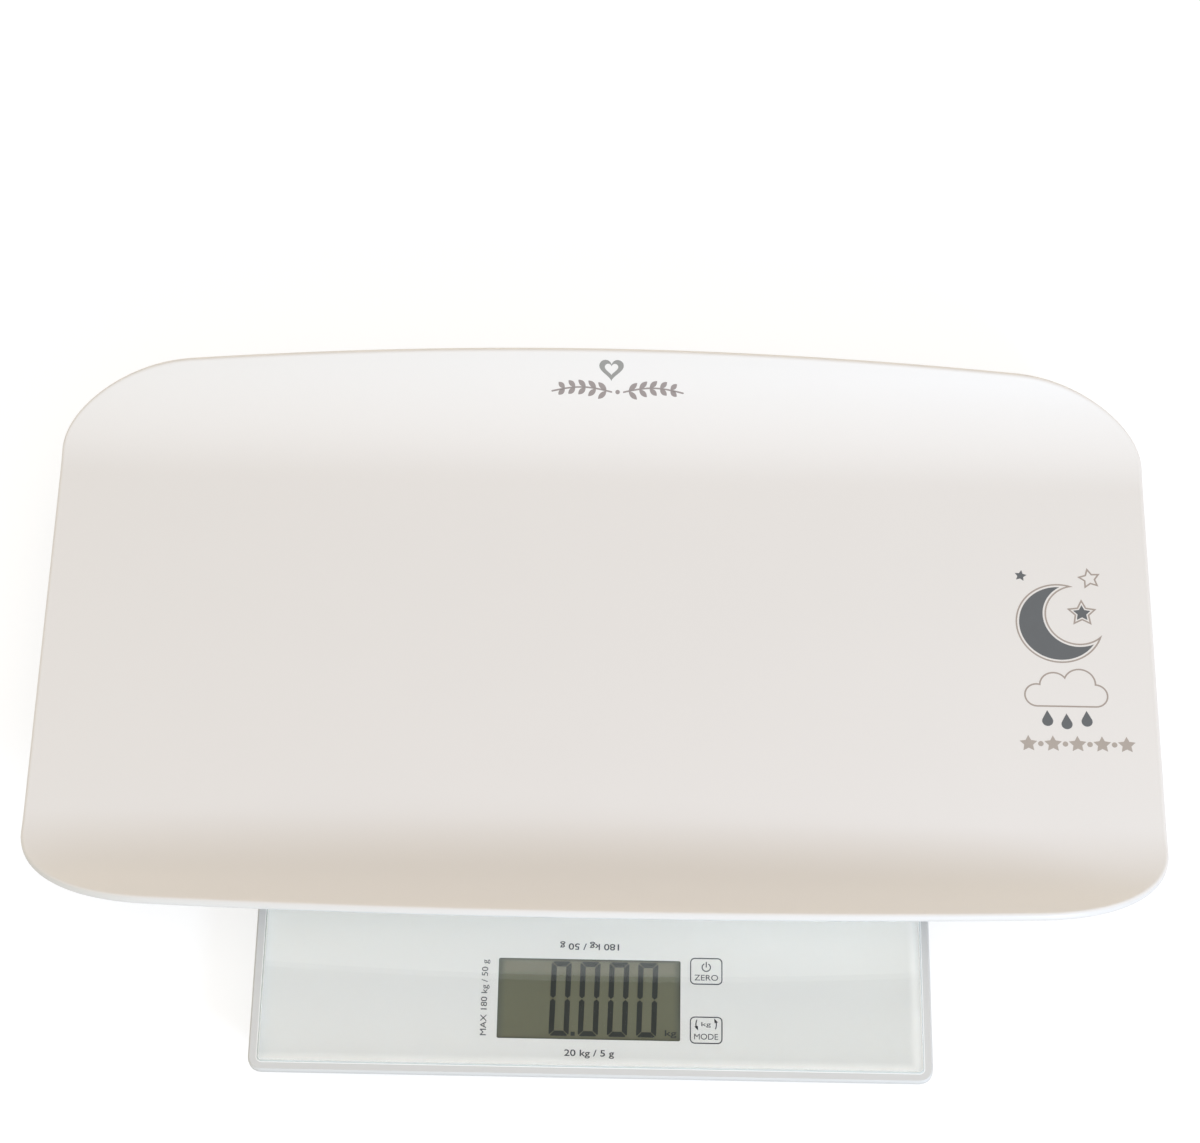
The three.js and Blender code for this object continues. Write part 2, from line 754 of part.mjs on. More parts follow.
// A bent leaf spring for each row that it serves, on one plate when it links two cells
function batteryContact(side, rows) {
  const depth = bayEndRoom - seatGap - seatGap;
  const low = batteryAxisHeight - contactHeight / 2;
  const high = low + contactHeight;
  const sheet = contactThickness;
  const wall = bayHalfLength - seatGap;
  const at = (fromWall, z) => [side * (wall - fromWall), z];
  const profile = [
    at(0, low), at(sheet, low), at(depth, batteryAxisHeight - sheet),
    at(depth, batteryAxisHeight + sheet), at(sheet, high), at(0, high),
    at(0, high - sheet), at(depth - sheet, batteryAxisHeight), at(0, low + sheet),
  ];
  const leaves = rows.map((row) => lengthWall(profile, bayBack + row * batteryPitch, contactWidth));
  if (rows.length === 1) return leaves[0];
  const [first, last] = [rows[0], rows[rows.length - 1]].map((row) => bayBack + row * batteryPitch);
  const [x0, x1] = [side * wall, side * (wall - sheet)].sort((a, b) => a - b);
  return join(...leaves, block(x0, x1, first, last, low, low + sheet + sheet));
}

function batteryDoor() {
  const [left, right] = [-doorHalfLength, doorHalfLength];
  const plate = lengthWall([
    [left + doorHingeBevel, doorBottom],
    [right, doorBottom],
    [right, doorTop],
    [left, doorTop],
    [left, doorTop - doorThickness / 3],
  ], 0, 2 * doorHalfDepth);
  const tongueBottom = baseFloorTop + seatGap;
  const tongueTop = tongueBottom + doorTongueThickness;
  const tongueEnd = left - doorHingeGap - doorTongueLength;
  const tongues = [-1, 1].map((side) => lengthWall([
    [left, doorTop - doorThickness / 2],
    [left + doorArmWidth, doorTop - doorThickness / 2],
    [left + doorArmWidth, tongueTop],
    [tongueEnd, tongueTop],
    [tongueEnd, tongueBottom],
    [left, tongueBottom],
  ], side * doorTongueSpread / 2, doorTongueWidth));
  const latch = block(
    right - doorLatchThickness - runningGap, right - runningGap, -doorLatchWidth / 2, doorLatchWidth / 2,
    doorTop - sunkDepth, doorTop + doorLatchHeight);
  const grip = block(
    right - doorGripWidth, right - doorGripWidth / 2, -doorGripWidth, doorGripWidth,
    doorBottom - cutOverrun, doorBottom + doorGripDepth);
  return carve(join(plate, ...tongues, latch), grip);
}

// Unit button and switch

function unitButton() {
  const low = baseBottom - buttonProud;
  return spin([
    [0, low],
    [buttonRadius - rimBevel, low],
    [buttonRadius, low + rimBevel],
    [buttonRadius, buttonFlangeBottom],
    [buttonRadius + buttonFlange, buttonFlangeBottom],
    [buttonRadius + buttonFlange, buttonFlangeTop],
    [buttonStemRadius, buttonFlangeTop],
    [buttonStemRadius, buttonFlangeTop + buttonStemLength],
    [0, buttonFlangeTop + buttonStemLength],
  ], smallRoundSides);
}

function unitSwitch() {
  const half = switchSide / 2;
  const bottom = buttonFlangeTop + buttonTravel + seatGap;
  const bore = disc(
    buttonStemRadius + seatGap, bottom - cutOverrun, underBoard - switchRoof, 0, 0, smallRoundSides);
  return carve(block(-half, half, -half, half, bottom, underBoard), bore);
}

// Cradle tray: a bent sheet whose plan is a rectangle with bowed sides and long round corners

const trayCornerMiddleX = trayHalfLength - trayCornerLength;
const bowSlope = 2 * trayBow / trayCornerMiddleX;
const cornerStartAngle = Math.atan(bowSlope * trayCornerLength / trayCornerDepth);
const cornerStartX = trayCornerMiddleX + trayCornerLength * Math.sin(cornerStartAngle);
const bowRadius = cornerStartX * cornerStartX / (2 * trayBow);
const trayCornerMiddleY = trayHalfDepth - trayBow - trayCornerDepth * Math.cos(cornerStartAngle);

// Points of the back edge from left to right, each with its outward normal in plan
function trayEdgeStations() {
  const right = [];
  for (let step = 0; step <= trayCornerSteps; step++) {
    const share = step / trayCornerSteps;
    const angle = cornerStartAngle + share * (Math.PI / 2 - cornerStartAngle);
    right.push({
      x: trayCornerMiddleX + trayCornerLength * Math.sin(angle),
      y: trayCornerMiddleY + trayCornerDepth * Math.cos(angle),
      normalX: Math.sin(angle) / trayCornerLength,
      normalY: Math.cos(angle) / trayCornerDepth,
    });
  }
  const middle = [];
  for (let step = 1; step < trayMiddleSteps; step++) {
    const x = cornerStartX * (2 * step / trayMiddleSteps - 1);
    middle.push({ x, y: trayHalfDepth - x * x / (2 * bowRadius), normalX: x / bowRadius, normalY: 1 });
  }
  const left = right.map((station) => ({ ...station, x: -station.x, normalX: -station.normalX })).reverse();
  return [...left, ...middle, ...right];
}

// Tangent angle of the trough at a distance from the middle line
function trayAngle(y) {
  return Math.asin(Math.max(0, Math.abs(y) - trayFlatHalf) / trayWallRadius);
}

function trayPoint(x, y) {
  const angle = trayAngle(y);
  return new THREE.Vector3(x, y, trayFloorTop + trayWallRadius * (1 - Math.cos(angle)));
}

function trayNormal(y) {
  const angle = trayAngle(y);
  return new THREE.Vector3(0, -Math.sign(y) * Math.sin(angle), Math.cos(angle));
}

// Rows of one column, from the front edge to the back edge
function trayRows(reach) {
  const wallAngle = trayAngle(reach);
  const wall = [];
  for (let step = 0; step <= trayWallSteps; step++) {
    wall.push(trayFlatHalf + trayWallRadius * Math.sin(wallAngle * step / trayWallSteps));
  }
  const floor = [];
  for (let step = 1; step < trayFloorSteps; step++) {
    floor.push(trayFlatHalf * (2 * step / trayFloorSteps - 1));
  }
  return [...wall.map((y) => -y).reverse(), ...floor, ...wall];
}

function trayBoundary(stations, rows) {
  const lastColumn = stations.length - 1;
  const lastRow = rows[0].length - 1;
  const loop = [];
  for (let column = 0; column < lastColumn; column++) loop.push([column, 0]);
  for (let row = 0; row < lastRow; row++) loop.push([lastColumn, row]);
  for (let column = lastColumn; column > 0; column--) loop.push([column, lastRow]);
  for (let row = lastRow; row > 0; row--) loop.push([0, row]);
  return loop.map(([column, row]) => {
    const station = stations[column];
    const y = rows[column][row];
    const onEnd = column === 0 || column === lastColumn;
    const planNormal = onEnd
      ? new THREE.Vector3(Math.sign(station.x), 0, 0)
      : new THREE.Vector3(station.normalX, Math.sign(y) * station.normalY, 0);
    const normal = trayNormal(y);
    const along = new THREE.Vector3(-planNormal.y, planNormal.x, 0);
    along.z = -normal.y * along.y / normal.z;
    const outward = along.cross(normal).normalize();
    return { column, row, point: trayPoint(station.x, y), normal, outward };
  });
}

function traySheet() {
  const stations = trayEdgeStations();
  const rows = stations.map((station) => trayRows(station.y));
  const columnCount = stations.length;
  const rowCount = rows[0].length;
  const at = (column, row) => column * rowCount + row;
  const faceSize = columnCount * rowCount;
  const boundary = trayBoundary(stations, rows);
  const inset = (trayHalfLength - trayEdgeRound) / trayHalfLength;
  const top = stations.flatMap((station, column) =>
    rows[column].map((y) => trayPoint(station.x * inset, y)));
  for (const { column, row, point, outward } of boundary) {
    top[at(column, row)] = point.clone().addScaledVector(outward, -trayEdgeRound);
  }
  const bottom = top.map((point, i) => {
    const y = rows[Math.floor(i / rowCount)][i % rowCount];
    return point.clone().addScaledVector(trayNormal(y), -trayThickness);
  });
  const edgeRings = [
    [trayEdgeSoftening, trayEdgeSoftening],
    [0, trayEdgeRound],
    [0, trayThickness - trayEdgeRound],
    [trayEdgeSoftening, trayThickness - trayEdgeSoftening],
  ].map(([inward, down]) => boundary.map(({ point, normal, outward }) =>
    point.clone().addScaledVector(outward, -inward).addScaledVector(normal, -down)));

  const index = [];
  for (let column = 0; column + 1 < columnCount; column++) {
    for (let row = 0; row + 1 < rowCount; row++) {
      const a = at(column, row);
      const b = at(column + 1, row);
      index.push(a, b, b + 1, a, b + 1, a + 1);
      index.push(faceSize + a, faceSize + b + 1, faceSize + b);
      index.push(faceSize + a, faceSize + a + 1, faceSize + b + 1);
    }
  }
  const count = boundary.length;
  const ringStart = 2 * faceSize;
  const levels = [
    boundary.map(({ column, row }) => at(column, row)),
    ...edgeRings.map((ring, level) => ring.map((_, i) => ringStart + level * count + i)),
    boundary.map(({ column, row }) => faceSize + at(column, row)),
  ];
  for (let level = 0; level + 1 < levels.length; level++) {
    const [upper, lower] = [levels[level], levels[level + 1]];
    for (let i = 0; i < count; i++) {
      const j = (i + 1) % count;
      index.push(lower[i], lower[j], upper[j], lower[i], upper[j], upper[i]);
    }
  }
  const positions = [...top, ...bottom, ...edgeRings.flat()].flatMap((point) => point.toArray());
  return indexedGeometry(positions, index);
}

// A cross rib that lies against the underside and runs out on the curved walls
function trayCrossRib(x) {
  const depth = trayThickness / 2;
  const reachAngle = Math.asin(trayRibReachShare * Math.sin(trayWallAngle));
  const wall = [];
  for (let step = 0; step <= trayWallSteps; step++) {
    const angle = reachAngle * step / trayWallSteps;
    wall.push([
      trayFlatHalf + (trayWallRadius + depth) * Math.sin(angle),
      trayFloorTop + trayWallRadius - (trayWallRadius + depth) * Math.cos(angle),
    ]);
  }
  const mirrored = wall.map(([y, z]) => [-y, z]);
  const footHalf = trayFlatHalf + trayRibFootShare * trayWallWidth;
  const foot = [[-footHalf, trayRibBottom], [footHalf, trayRibBottom]];
  return crossWall([...foot, ...wall.reverse(), ...mirrored], x, trayRibThickness);
}

function trayLengthRib(y) {
  const end = trayHalfLength - trayRibEndMargin;
  const half = trayRibThickness / 2;
  return block(-end, end, y - half, y + half, trayRibBottom, trayFloorBottom + sunkDepth);
}

const padPlaces = corners.map(([name, sideX, sideY]) =>
  [name, sideX * padSpreadX / 2, sideY * padSpreadY / 2]);

function trayShell() {
  const crossRibs = [0, -padSpreadX / 2, padSpreadX / 2, -trayRibOuterSpread / 2, trayRibOuterSpread / 2]
    .map(trayCrossRib);
  const lengthRibs = [-padSpreadY / 2, 0, padSpreadY / 2].map(trayLengthRib);
  const bosses = padPlaces.map(([, x, y]) =>
    disc(padRadius + seatGap + padBossWall, padBossBottom, trayFloorBottom + sunkDepth, x, y));
  const pockets = padPlaces.map(([, x, y]) =>
    disc(padRadius + seatGap, padBossBottom - cutOverrun, padTop + seatGap, x, y));
  return carve(join(traySheet(), ...crossRibs, ...lengthRibs, ...bosses), ...pockets);
}

function trayPad() {
  return spin([
    [0, padBottom],
    [padRadius - footChamfer, padBottom],
    [padRadius, padBottom + footChamfer],
    [padRadius, padTop],
    [0, padTop],
  ]);
}

// The platform's pieces
place(platform, 'glass_plate', glassPlate(), clearGlass);
place(platform, 'printed_backing', printedBacking(), printWhite);
place(platform, 'glass_tape', glassTape(), tapeGrey);
place(platform, 'base_shell', baseShell(), baseWhite);
place(platform, 'lcd_panel', lcdPanel(), lcdGrey, windowShift, windowMiddle);
place(platform, 'lcd_frame', lcdFrame(), frameBlack, windowShift, windowMiddle);
place(platform, 'touch_electrode_tare', touchElectrode(), contactMetal,
  keyColumn, windowMiddle + keyPitch / 2);
place(platform, 'touch_electrode_hold', touchElectrode(), contactMetal,
  keyColumn, windowMiddle - keyPitch / 2);
place(platform, 'main_board', mainBoard(), boardGreen);
place(platform, 'control_chip', controlChip(), chipBlack, 0, windowMiddle);
[-1, 1].forEach((side, i) => {
  place(platform, `capacitor_${i + 1}`, capacitor(), contactMetal,
    partsSpacing, windowMiddle + side * chipSide / 2);
});
place(platform, 'board_header', boardHeader(), printWhite,
  boardRight - headerWidth / 2 - headerWall, windowMiddle);
boardScrews.forEach(([x, y], i) => {
  place(platform, `board_screw_${i + 1}`, boardScrew(), steel, x, y);
});
place(platform, 'unit_button', unitButton(), trayWhite, buttonColumn, windowMiddle);
place(platform, 'unit_switch', unitSwitch(), chipBlack, buttonColumn, windowMiddle);
for (let i = 0; i < batteryCount; i++) {
  const y = bayBack + (i - (batteryCount - 1) / 2) * batteryPitch;
  const direction = i % 2 === 0 ? 1 : -1;
  place(platform, `battery_${i + 1}`, battery(direction), batteryCoat, 0, y, batteryAxisHeight);
}
place(platform, 'battery_terminal_left', batteryContact(-1, [-1]), contactMetal);
place(platform, 'battery_link_left', batteryContact(-1, [0, 1]), contactMetal);
place(platform, 'battery_link_right', batteryContact(1, [-1, 0]), contactMetal);
place(platform, 'battery_terminal_right', batteryContact(1, [1]), contactMetal);
place(platform, 'battery_door', batteryDoor(), baseWhite, 0, bayBack);
for (const [name, sideX, sideY] of corners) {
  const [x, y] = [sideX * footHalfSpread, sideY * footHalfSpread];
  place(platform, `load_cell_${name}`, loadCell(), steel, x, y);
  place(platform, `foot_cup_${name}`, footCup(), baseWhite, x, y);
  place(platform, `rubber_foot_${name}`, rubberFoot(), rubberGrey, x, y);
}
corners.forEach(([name], i) => {
  place(platform, `load_cell_lead_${name}`, tube(cellLeadRoutes[i], cellLeadRadius), leadGrey);
});
['left', 'right'].forEach((name, i) => {
  place(platform, `battery_lead_${name}`, tube(batteryLeadRoutes[i], batteryLeadRadius), leadRed);
});

// The tray's pieces
place(tray, 'tray_shell', trayShell(), trayWhite);
for (const [name, x, y] of padPlaces) {
  place(tray, `tray_pad_${name}`, trayPad(), padWhite, x, y);
}

export default scale;
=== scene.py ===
"""Looks of a digital baby weighing scale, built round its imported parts.

Shapes are worked out in millimetres and scaled to metres as they are made.
"""

from math import acos, asin, atan, atan2, copysign, cos, degrees, hypot, pi, radians, sin

import bmesh
import bpy
from mathutils import Color, Matrix, Vector

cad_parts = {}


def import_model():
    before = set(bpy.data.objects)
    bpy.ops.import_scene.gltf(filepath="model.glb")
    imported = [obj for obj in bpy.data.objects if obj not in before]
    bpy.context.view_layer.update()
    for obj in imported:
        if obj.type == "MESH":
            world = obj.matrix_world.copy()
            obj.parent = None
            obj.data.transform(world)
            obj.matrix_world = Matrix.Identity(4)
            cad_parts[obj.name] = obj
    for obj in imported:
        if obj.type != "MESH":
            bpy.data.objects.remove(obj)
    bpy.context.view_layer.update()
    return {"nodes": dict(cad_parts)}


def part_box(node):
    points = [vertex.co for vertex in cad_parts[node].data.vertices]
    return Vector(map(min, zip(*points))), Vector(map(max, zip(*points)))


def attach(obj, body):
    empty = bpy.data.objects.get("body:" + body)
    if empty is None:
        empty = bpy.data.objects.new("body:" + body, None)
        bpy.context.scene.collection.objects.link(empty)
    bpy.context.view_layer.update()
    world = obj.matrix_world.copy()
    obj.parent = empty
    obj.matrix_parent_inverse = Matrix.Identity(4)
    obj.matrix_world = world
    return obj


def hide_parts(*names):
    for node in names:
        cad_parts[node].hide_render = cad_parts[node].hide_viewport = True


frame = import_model()

MM = 0.001
WHITE = (1, 1, 1, 1)
BLACK = (0, 0, 0, 1)

# Cradle tray
TRAY_THICKNESS = 4
TRAY_FLOOR_RISE = 12
TRAY_HALF_DEPTH = 144.6
TRAY_BOW = 5.3
TRAY_CORNER_LENGTH = 69
TRAY_CORNER_DEPTH = 39.3
TRAY_EDGE_ROUND = 1.5
TRAY_WALL_WIDTH = 56
TRAY_WALL_ANGLE = radians(55)
TRAY_RIB_ROOT = 2.2
TRAY_RIB_TIP = 1.7
TRAY_RIB_HEIGHT = 4.5
TRAY_RIB_END_MARGIN = 40
TRAY_RIB_OUTER_SPREAD = 420
TRAY_RIB_REACH_SHARE = 0.6
TRAY_RIB_FOOT_SHARE = 0.22
TRAY_BOSS_WALL = 2.4
TRAY_POCKET_DEPTH = 1.6
SEAT_GAP = 0.3
OVERLAP = 1
TRAY_MIDDLE_STEPS = 60
TRAY_CORNER_STEPS = 22
TRAY_WALL_STEPS = 26
TRAY_FLOOR_STEPS = 16
TRAY_ROUND_STEPS = 5

# Platform: window, keys and the printed lines round them
WINDOW_FRONT_MARGIN = 14
WINDOW_WIDTH = 83
WINDOW_DEPTH = 38.2
WINDOW_SHIFT = -1.2
KEY_WINDOW_GAP = 4.6
KEY_PITCH = 28
KEY_WIDTH = 14.3
KEY_DEPTH = 12.3
KEY_CORNER = 2
PRINT_LINE = 0.5
PRINT_THICKNESS = 0.05
GLASS_CORNER = 2.2
GASKET_GAP = 0.02
GASKET_WIDTH = 0.38
GASKET_HEIGHT = 4.8
GASKET_DROP = 1.0

# Camera, as fitted to the photograph, from the middle of the glass's upper face
CAMERA_OFFSET = (0.97, -574.96, 1342.28)
CAMERA_PITCH = 63.355
CAMERA_YAW = 0.078
CAMERA_ROLL = 1.01
FOCAL_PIXELS = 3100
IMAGE_WIDTH = 1200
SENSOR_WIDTH = 36
CLIP_START = 0.05
CLIP_END = 50


def box_of(node):
    """Lowest corner, middle and highest corner of a CAD node in millimetres."""
    low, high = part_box(node)
    return low / MM, (low + high) / 2 / MM, high / MM


_, glass_middle, glass_high = box_of("glass_plate")
_, tray_middle, tray_high = box_of("tray_shell")

PLATFORM_Y = glass_middle.y
TRAY_Y = tray_middle.y
GLASS_HALF = glass_high.x
GLASS_TOP = glass_high.z
PRINT_LEVEL = box_of("printed_backing")[2].z + PRINT_THICKNESS / 2
TRAY_HALF_LENGTH = tray_high.x
TRAY_FLOOR_TOP = GLASS_TOP + TRAY_FLOOR_RISE
TRAY_FLOOR_BOTTOM = TRAY_FLOOR_TOP - TRAY_THICKNESS
TRAY_WALL_RADIUS = TRAY_WALL_WIDTH / sin(TRAY_WALL_ANGLE)
TRAY_FLAT_HALF = TRAY_HALF_DEPTH - TRAY_WALL_WIDTH
WINDOW_FRONT = PLATFORM_Y - GLASS_HALF + WINDOW_FRONT_MARGIN
WINDOW_MIDDLE = WINDOW_FRONT + WINDOW_DEPTH / 2
WINDOW_BACK = WINDOW_FRONT + WINDOW_DEPTH
KEY_COLUMN = WINDOW_SHIFT + WINDOW_WIDTH / 2 + KEY_WINDOW_GAP + KEY_WIDTH / 2


# Node trees and finishes


def linear(*screen, tint=1.0):
    """A colour seen on screen, from 0 to 255, as linear light, made paler or darker by a tint."""
    color = Color([value / 255 for value in screen]).from_srgb_to_scene_linear()
    return *(color * tint), 1


class Nodes:
    """A node tree of one family, with short calls for the nodes that it needs."""

    def __init__(self, tree, family="ShaderNode"):
        self.tree = tree
        self.family = family

    def put(self, socket, value):
        if isinstance(value, bpy.types.NodeSocket):
            self.tree.links.new(value, socket)
        else:
            socket.default_value = value

    def add(self, kind, inputs=None, **settings):
        node = self.tree.nodes.new(self.family + kind)
        for name, value in settings.items():
            setattr(node, name, value)
        for name, value in (inputs or {}).items():
            self.put(node.inputs[name], value)
        return node

    def math(self, operation, first, second=0.0):
        return self.add("Math", {0: first, 1: second}, operation=operation).outputs[0]

    def ramp(self, value, low, high, start=0.0, end=1.0, shape="SMOOTHSTEP"):
        inputs = {"Value": value, "From Min": low, "From Max": high, "To Min": start, "To Max": end}
        return self.add("MapRange", inputs, interpolation_type=shape).outputs["Result"]

    def mix(self, share, first, second, blend="MIX"):
        inputs = {0: share, 6: first, 7: second}
        return self.add("Mix", inputs, data_type="RGBA", blend_type=blend).outputs[2]

    def split(self, vector):
        """The three numbers of a vector."""
        return self.add("SeparateXYZ", {0: vector}).outputs

    def ray(self, kind):
        return self.add("LightPath").outputs[f"Is {kind} Ray"]


class Shader(Nodes):
    """A material, with short calls for what its surface needs."""

    def __init__(self, name):
        self.material = bpy.data.materials.new(name)
        self.material.use_nodes = True
        super().__init__(self.material.node_tree)
        self.surface = self.tree.nodes["Principled BSDF"]
        coordinates = self.add("TexCoord").outputs
        self.place = coordinates["Object"]
        self.normal = coordinates["Normal"]

    def set(self, inputs):
        for name, value in inputs.items():
            self.put(self.surface.inputs[name], value)

    def paint(self, share, color):
        """Lays a screen colour over the surface's own, by a share from 0 to 1."""
        base = self.surface.inputs["Base Color"]
        self.put(base, self.mix(share, base.links[0].from_socket, linear(*color)))

    def layer(self, kind, inputs=None):
        """A surface beside the material's own, to be blended."""
        return self.add(kind, inputs).outputs[0]

    def blend(self, share, first, second):
        return self.add("MixShader", {0: share, 1: first, 2: second}).outputs[0]

    def show(self, surface):
        self.put(self.tree.nodes["Material Output"].inputs["Surface"], surface)

    def noise(self, size, detail=3.0, stretch=(1, 1, 1)):
        place = self.add("VectorMath", {0: self.place, 1: stretch}, operation="MULTIPLY")
        inputs = {"Vector": place.outputs[0], "Scale": 1 / (size * MM), "Detail": detail}
        return self.add("TexNoise", inputs).outputs["Fac"]

    def bump(self, height, depth):
        inputs = {"Height": height, "Distance": depth * MM}
        return self.add("Bump", inputs).outputs["Normal"]

    def fade(self, value, low, high):
        """A share that grows from 0 to 1 between two lengths in millimetres."""
        return self.ramp(value, low * MM, high * MM)

    def distance(self, value, middle):
        """How far a coordinate lies from a place in millimetres, either way."""
        return self.math("ABSOLUTE", self.math("SUBTRACT", value, middle * MM))


# Most of a noise's values lie between these
NOISE_RANGE = (0.3, 0.7)
GLOSS_SHARE = 1 / 3


def finish(name, color, roughness, mottle=0.02, mottle_size=45, grain_size=0.7,
           grain_depth=0.004, rough_spread=0.08, specular=0.5):
    """A moulded, cast or pressed surface with faint colour drift, uneven gloss and fine grain."""
    s = Shader(name)
    darker, paler = [linear(*color, tint=tint) for tint in (1 - mottle, 1 + mottle)]
    gloss = s.noise(mottle_size * GLOSS_SHARE)
    smoothest, roughest = roughness - rough_spread / 2, roughness + rough_spread / 2
    s.set({
        "Base Color": s.mix(s.noise(mottle_size), darker, paler),
        "Roughness": s.ramp(gloss, *NOISE_RANGE, smoothest, roughest),
        "Normal": s.bump(s.noise(grain_size, detail=2.0), grain_depth),
        "Specular IOR Level": specular,
    })
    return s


# Meshes and outlines

SMOOTH_ANGLE = 30
MERGE_DISTANCE = 0.0005


def linked(name, data):
    """A new object in the scene."""
    thing = bpy.data.objects.new(name, data)
    bpy.context.scene.collection.objects.link(thing)
    return thing


def modify(thing, kind, **settings):
    modifier = thing.modifiers.new(kind.lower(), kind)
    for name, value in settings.items():
        setattr(modifier, name, value)


def evaluated(thing):
    """The mesh of an object after its modifiers."""
    graph = bpy.context.evaluated_depsgraph_get()
    return bpy.data.meshes.new_from_object(thing.evaluated_get(graph))


def new_piece(name, mesh, material, body):
    """A piece of the object, in millimetres until now, that rides on a body."""
    mesh.transform(Matrix.Scale(MM, 4))
    mesh.update()
    mesh.materials.clear()
    mesh.materials.append(material)
    piece = linked(name, mesh)
    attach(piece, body)
    return piece


def mesh_from(vertices, faces):
    mesh = bpy.data.meshes.new("shape")
    mesh.from_pydata([tuple(v) for v in vertices], [], faces)
    mesh.update()
    return mesh


def smooth(mesh):
    """Smooth shading that keeps sharp edges."""
    mesh.shade_smooth()
    mesh.set_sharp_from_angle(angle=radians(SMOOTH_ANGLE))
    return mesh


def combined(mesh, joins, cuts):
    """The mesh with some solids joined to it, and then some cut out of it."""
    holder = linked("holder", mesh)
    helpers = []
    for operation, tools in (("UNION", joins), ("DIFFERENCE", cuts)):
        for tool in tools:
            helpers.append(linked("tool", tool))
            modify(holder, "BOOLEAN", operation=operation, solver="EXACT", object=helpers[-1])
    result = evaluated(holder)
    for helper in [holder, *helpers]:
        bpy.data.objects.remove(helper)
    return result


def moved(mesh, x=0.0, y=0.0, z=0.0, turn=0.0):
    mesh.transform(Matrix.Translation((x, y, z)) @ Matrix.Rotation(radians(turn), 4, "Z"))
    return mesh


def joined(meshes):
    shape = bmesh.new()
    for mesh in meshes:
        shape.from_mesh(mesh)
    result = bpy.data.meshes.new("joined")
    shape.to_mesh(result)
    shape.free()
    return result


def solid_between(first, second):
    """A closed solid between two like outlines in space."""
    count = len(first)
    faces = [tuple(reversed(range(count))), tuple(range(count, 2 * count))]
    for i in range(count):
        j = (i + 1) % count
        faces.append((i, j, j + count, i + count))
    return mesh_from(first + second, faces)


def prism(outline, bottom, top, top_outline=None):
    """A closed solid from an outline that runs counter-clockwise."""
    return solid_between([(x, y, bottom) for x, y in outline],
                         [(x, y, top) for x, y in top_outline or outline])


def polar(radius, turn, x=0.0, y=0.0):
    """A point at a distance and an angle, in degrees, from a middle."""
    turn = radians(turn)
    return x + radius * cos(turn), y + radius * sin(turn)


def arc(radius, start, end, x=0.0, y=0.0, steps=24):
    """Points of an arc between two angles in degrees."""
    return [polar(radius, start + (end - start) * i / steps, x, y) for i in range(steps + 1)]


def circle(radius, x=0.0, y=0.0, sides=64):
    return arc(radius, 0, 360, x, y, sides)[:-1]


def rounded_rect(half_x, half_y, radius, x=0.0, y=0.0, steps=8):
    points = []
    for start, side_x, side_y in ((0, 1, 1), (90, -1, 1), (180, -1, -1), (270, 1, -1)):
        corner_x = x + side_x * (half_x - radius)
        corner_y = y + side_y * (half_y - radius)
        points += arc(radius, start, start + 90, corner_x, corner_y, steps)
    return points


def ring(outline_of, width):
    """Two outlines a line's width apart, from a function of the distance outwards."""
    return [outline_of(width / 2), outline_of(-width / 2)]


def stroke(points, width, cap_steps=6):
    """An open line with round ends as one closed outline, along one side and back on the other."""
    outline = []
    for line in (points, points[::-1]):
        for before, here, after in zip(line[:1] + line, line, line[1:] + line[-1:]):
            turn = 90 + degrees(atan2(after[1] - before[1], after[0] - before[0]))
            outline.append(polar(width / 2, turn, *here))
        outline += arc(width / 2, turn, turn - 180, *here, cap_steps)[1:-1]
    return outline


# Flat prints: outlines filled as flat curves and laid on a surface


def as_mesh(data):
    """A curve or a text as a mesh without doubled points."""
    holder = linked("holder", data)
    mesh = evaluated(holder)
    bpy.data.objects.remove(holder)
    shape = bmesh.new()
    shape.from_mesh(mesh)
    bmesh.ops.remove_doubles(shape, verts=shape.verts, dist=MERGE_DISTANCE)
    shape.to_mesh(mesh)
    shape.free()
    return mesh


def filled(loops, thickness=PRINT_THICKNESS):
    """A thin plate mesh from closed outlines; an outline inside another is a hole."""
    curve = bpy.data.curves.new("print", "CURVE")
    curve.dimensions = "2D"
    curve.fill_mode = "BOTH"
    curve.extrude = thickness / 2
    for loop in loops:
        spline = curve.splines.new("POLY")
        spline.points.add(len(loop) - 1)
        for point, (x, y) in zip(spline.points, loop):
            point.co = (x, y, 0, 1)
        spline.use_cyclic_u = True
    return as_mesh(curve)


def plates(loops):
    """One thin plate for each outline, so that they may touch."""
    return joined([filled([loop]) for loop in loops])


# Height of the font's capitals at size 1
FONT_CAPS = 0.729


def lettering(text, cap_height, width=None, bold=0.0):
    """Plain lettering, centred on its own middle and stretched to a width."""
    font = bpy.data.curves.new("lettering", "FONT")
    font.body = text
    font.size = cap_height / FONT_CAPS
    font.offset = bold * cap_height
    font.extrude = PRINT_THICKNESS / 2
    mesh = as_mesh(font)
    low = min(v.co.x for v in mesh.vertices)
    high = max(v.co.x for v in mesh.vertices)
    stretch = width / (high - low) if width else 1
    mesh.transform(Matrix.Diagonal((stretch, 1, 1, 1))
                   @ Matrix.Translation((-(low + high) / 2, -cap_height / 2, 0)))
    return mesh


def ink(name, color):
    return finish(name, color, 0.5, mottle=0.05, mottle_size=6, grain_size=0.4,
                  grain_depth=0.001).material


# The tray: a bent sheet whose plan is a rectangle with bowed sides and long round corners


def tray_angle(y):
    """Slope of the trough at a distance from its middle line."""
    return asin(max(0, abs(y) - TRAY_FLAT_HALF) / TRAY_WALL_RADIUS)


def tray_point(x, y):
    rise = TRAY_WALL_RADIUS * (1 - cos(tray_angle(y)))
    return Vector((x, y, TRAY_FLOOR_TOP + rise))


def tray_normal(y):
    angle = tray_angle(y)
    return Vector((0, -copysign(sin(angle), y), cos(angle)))


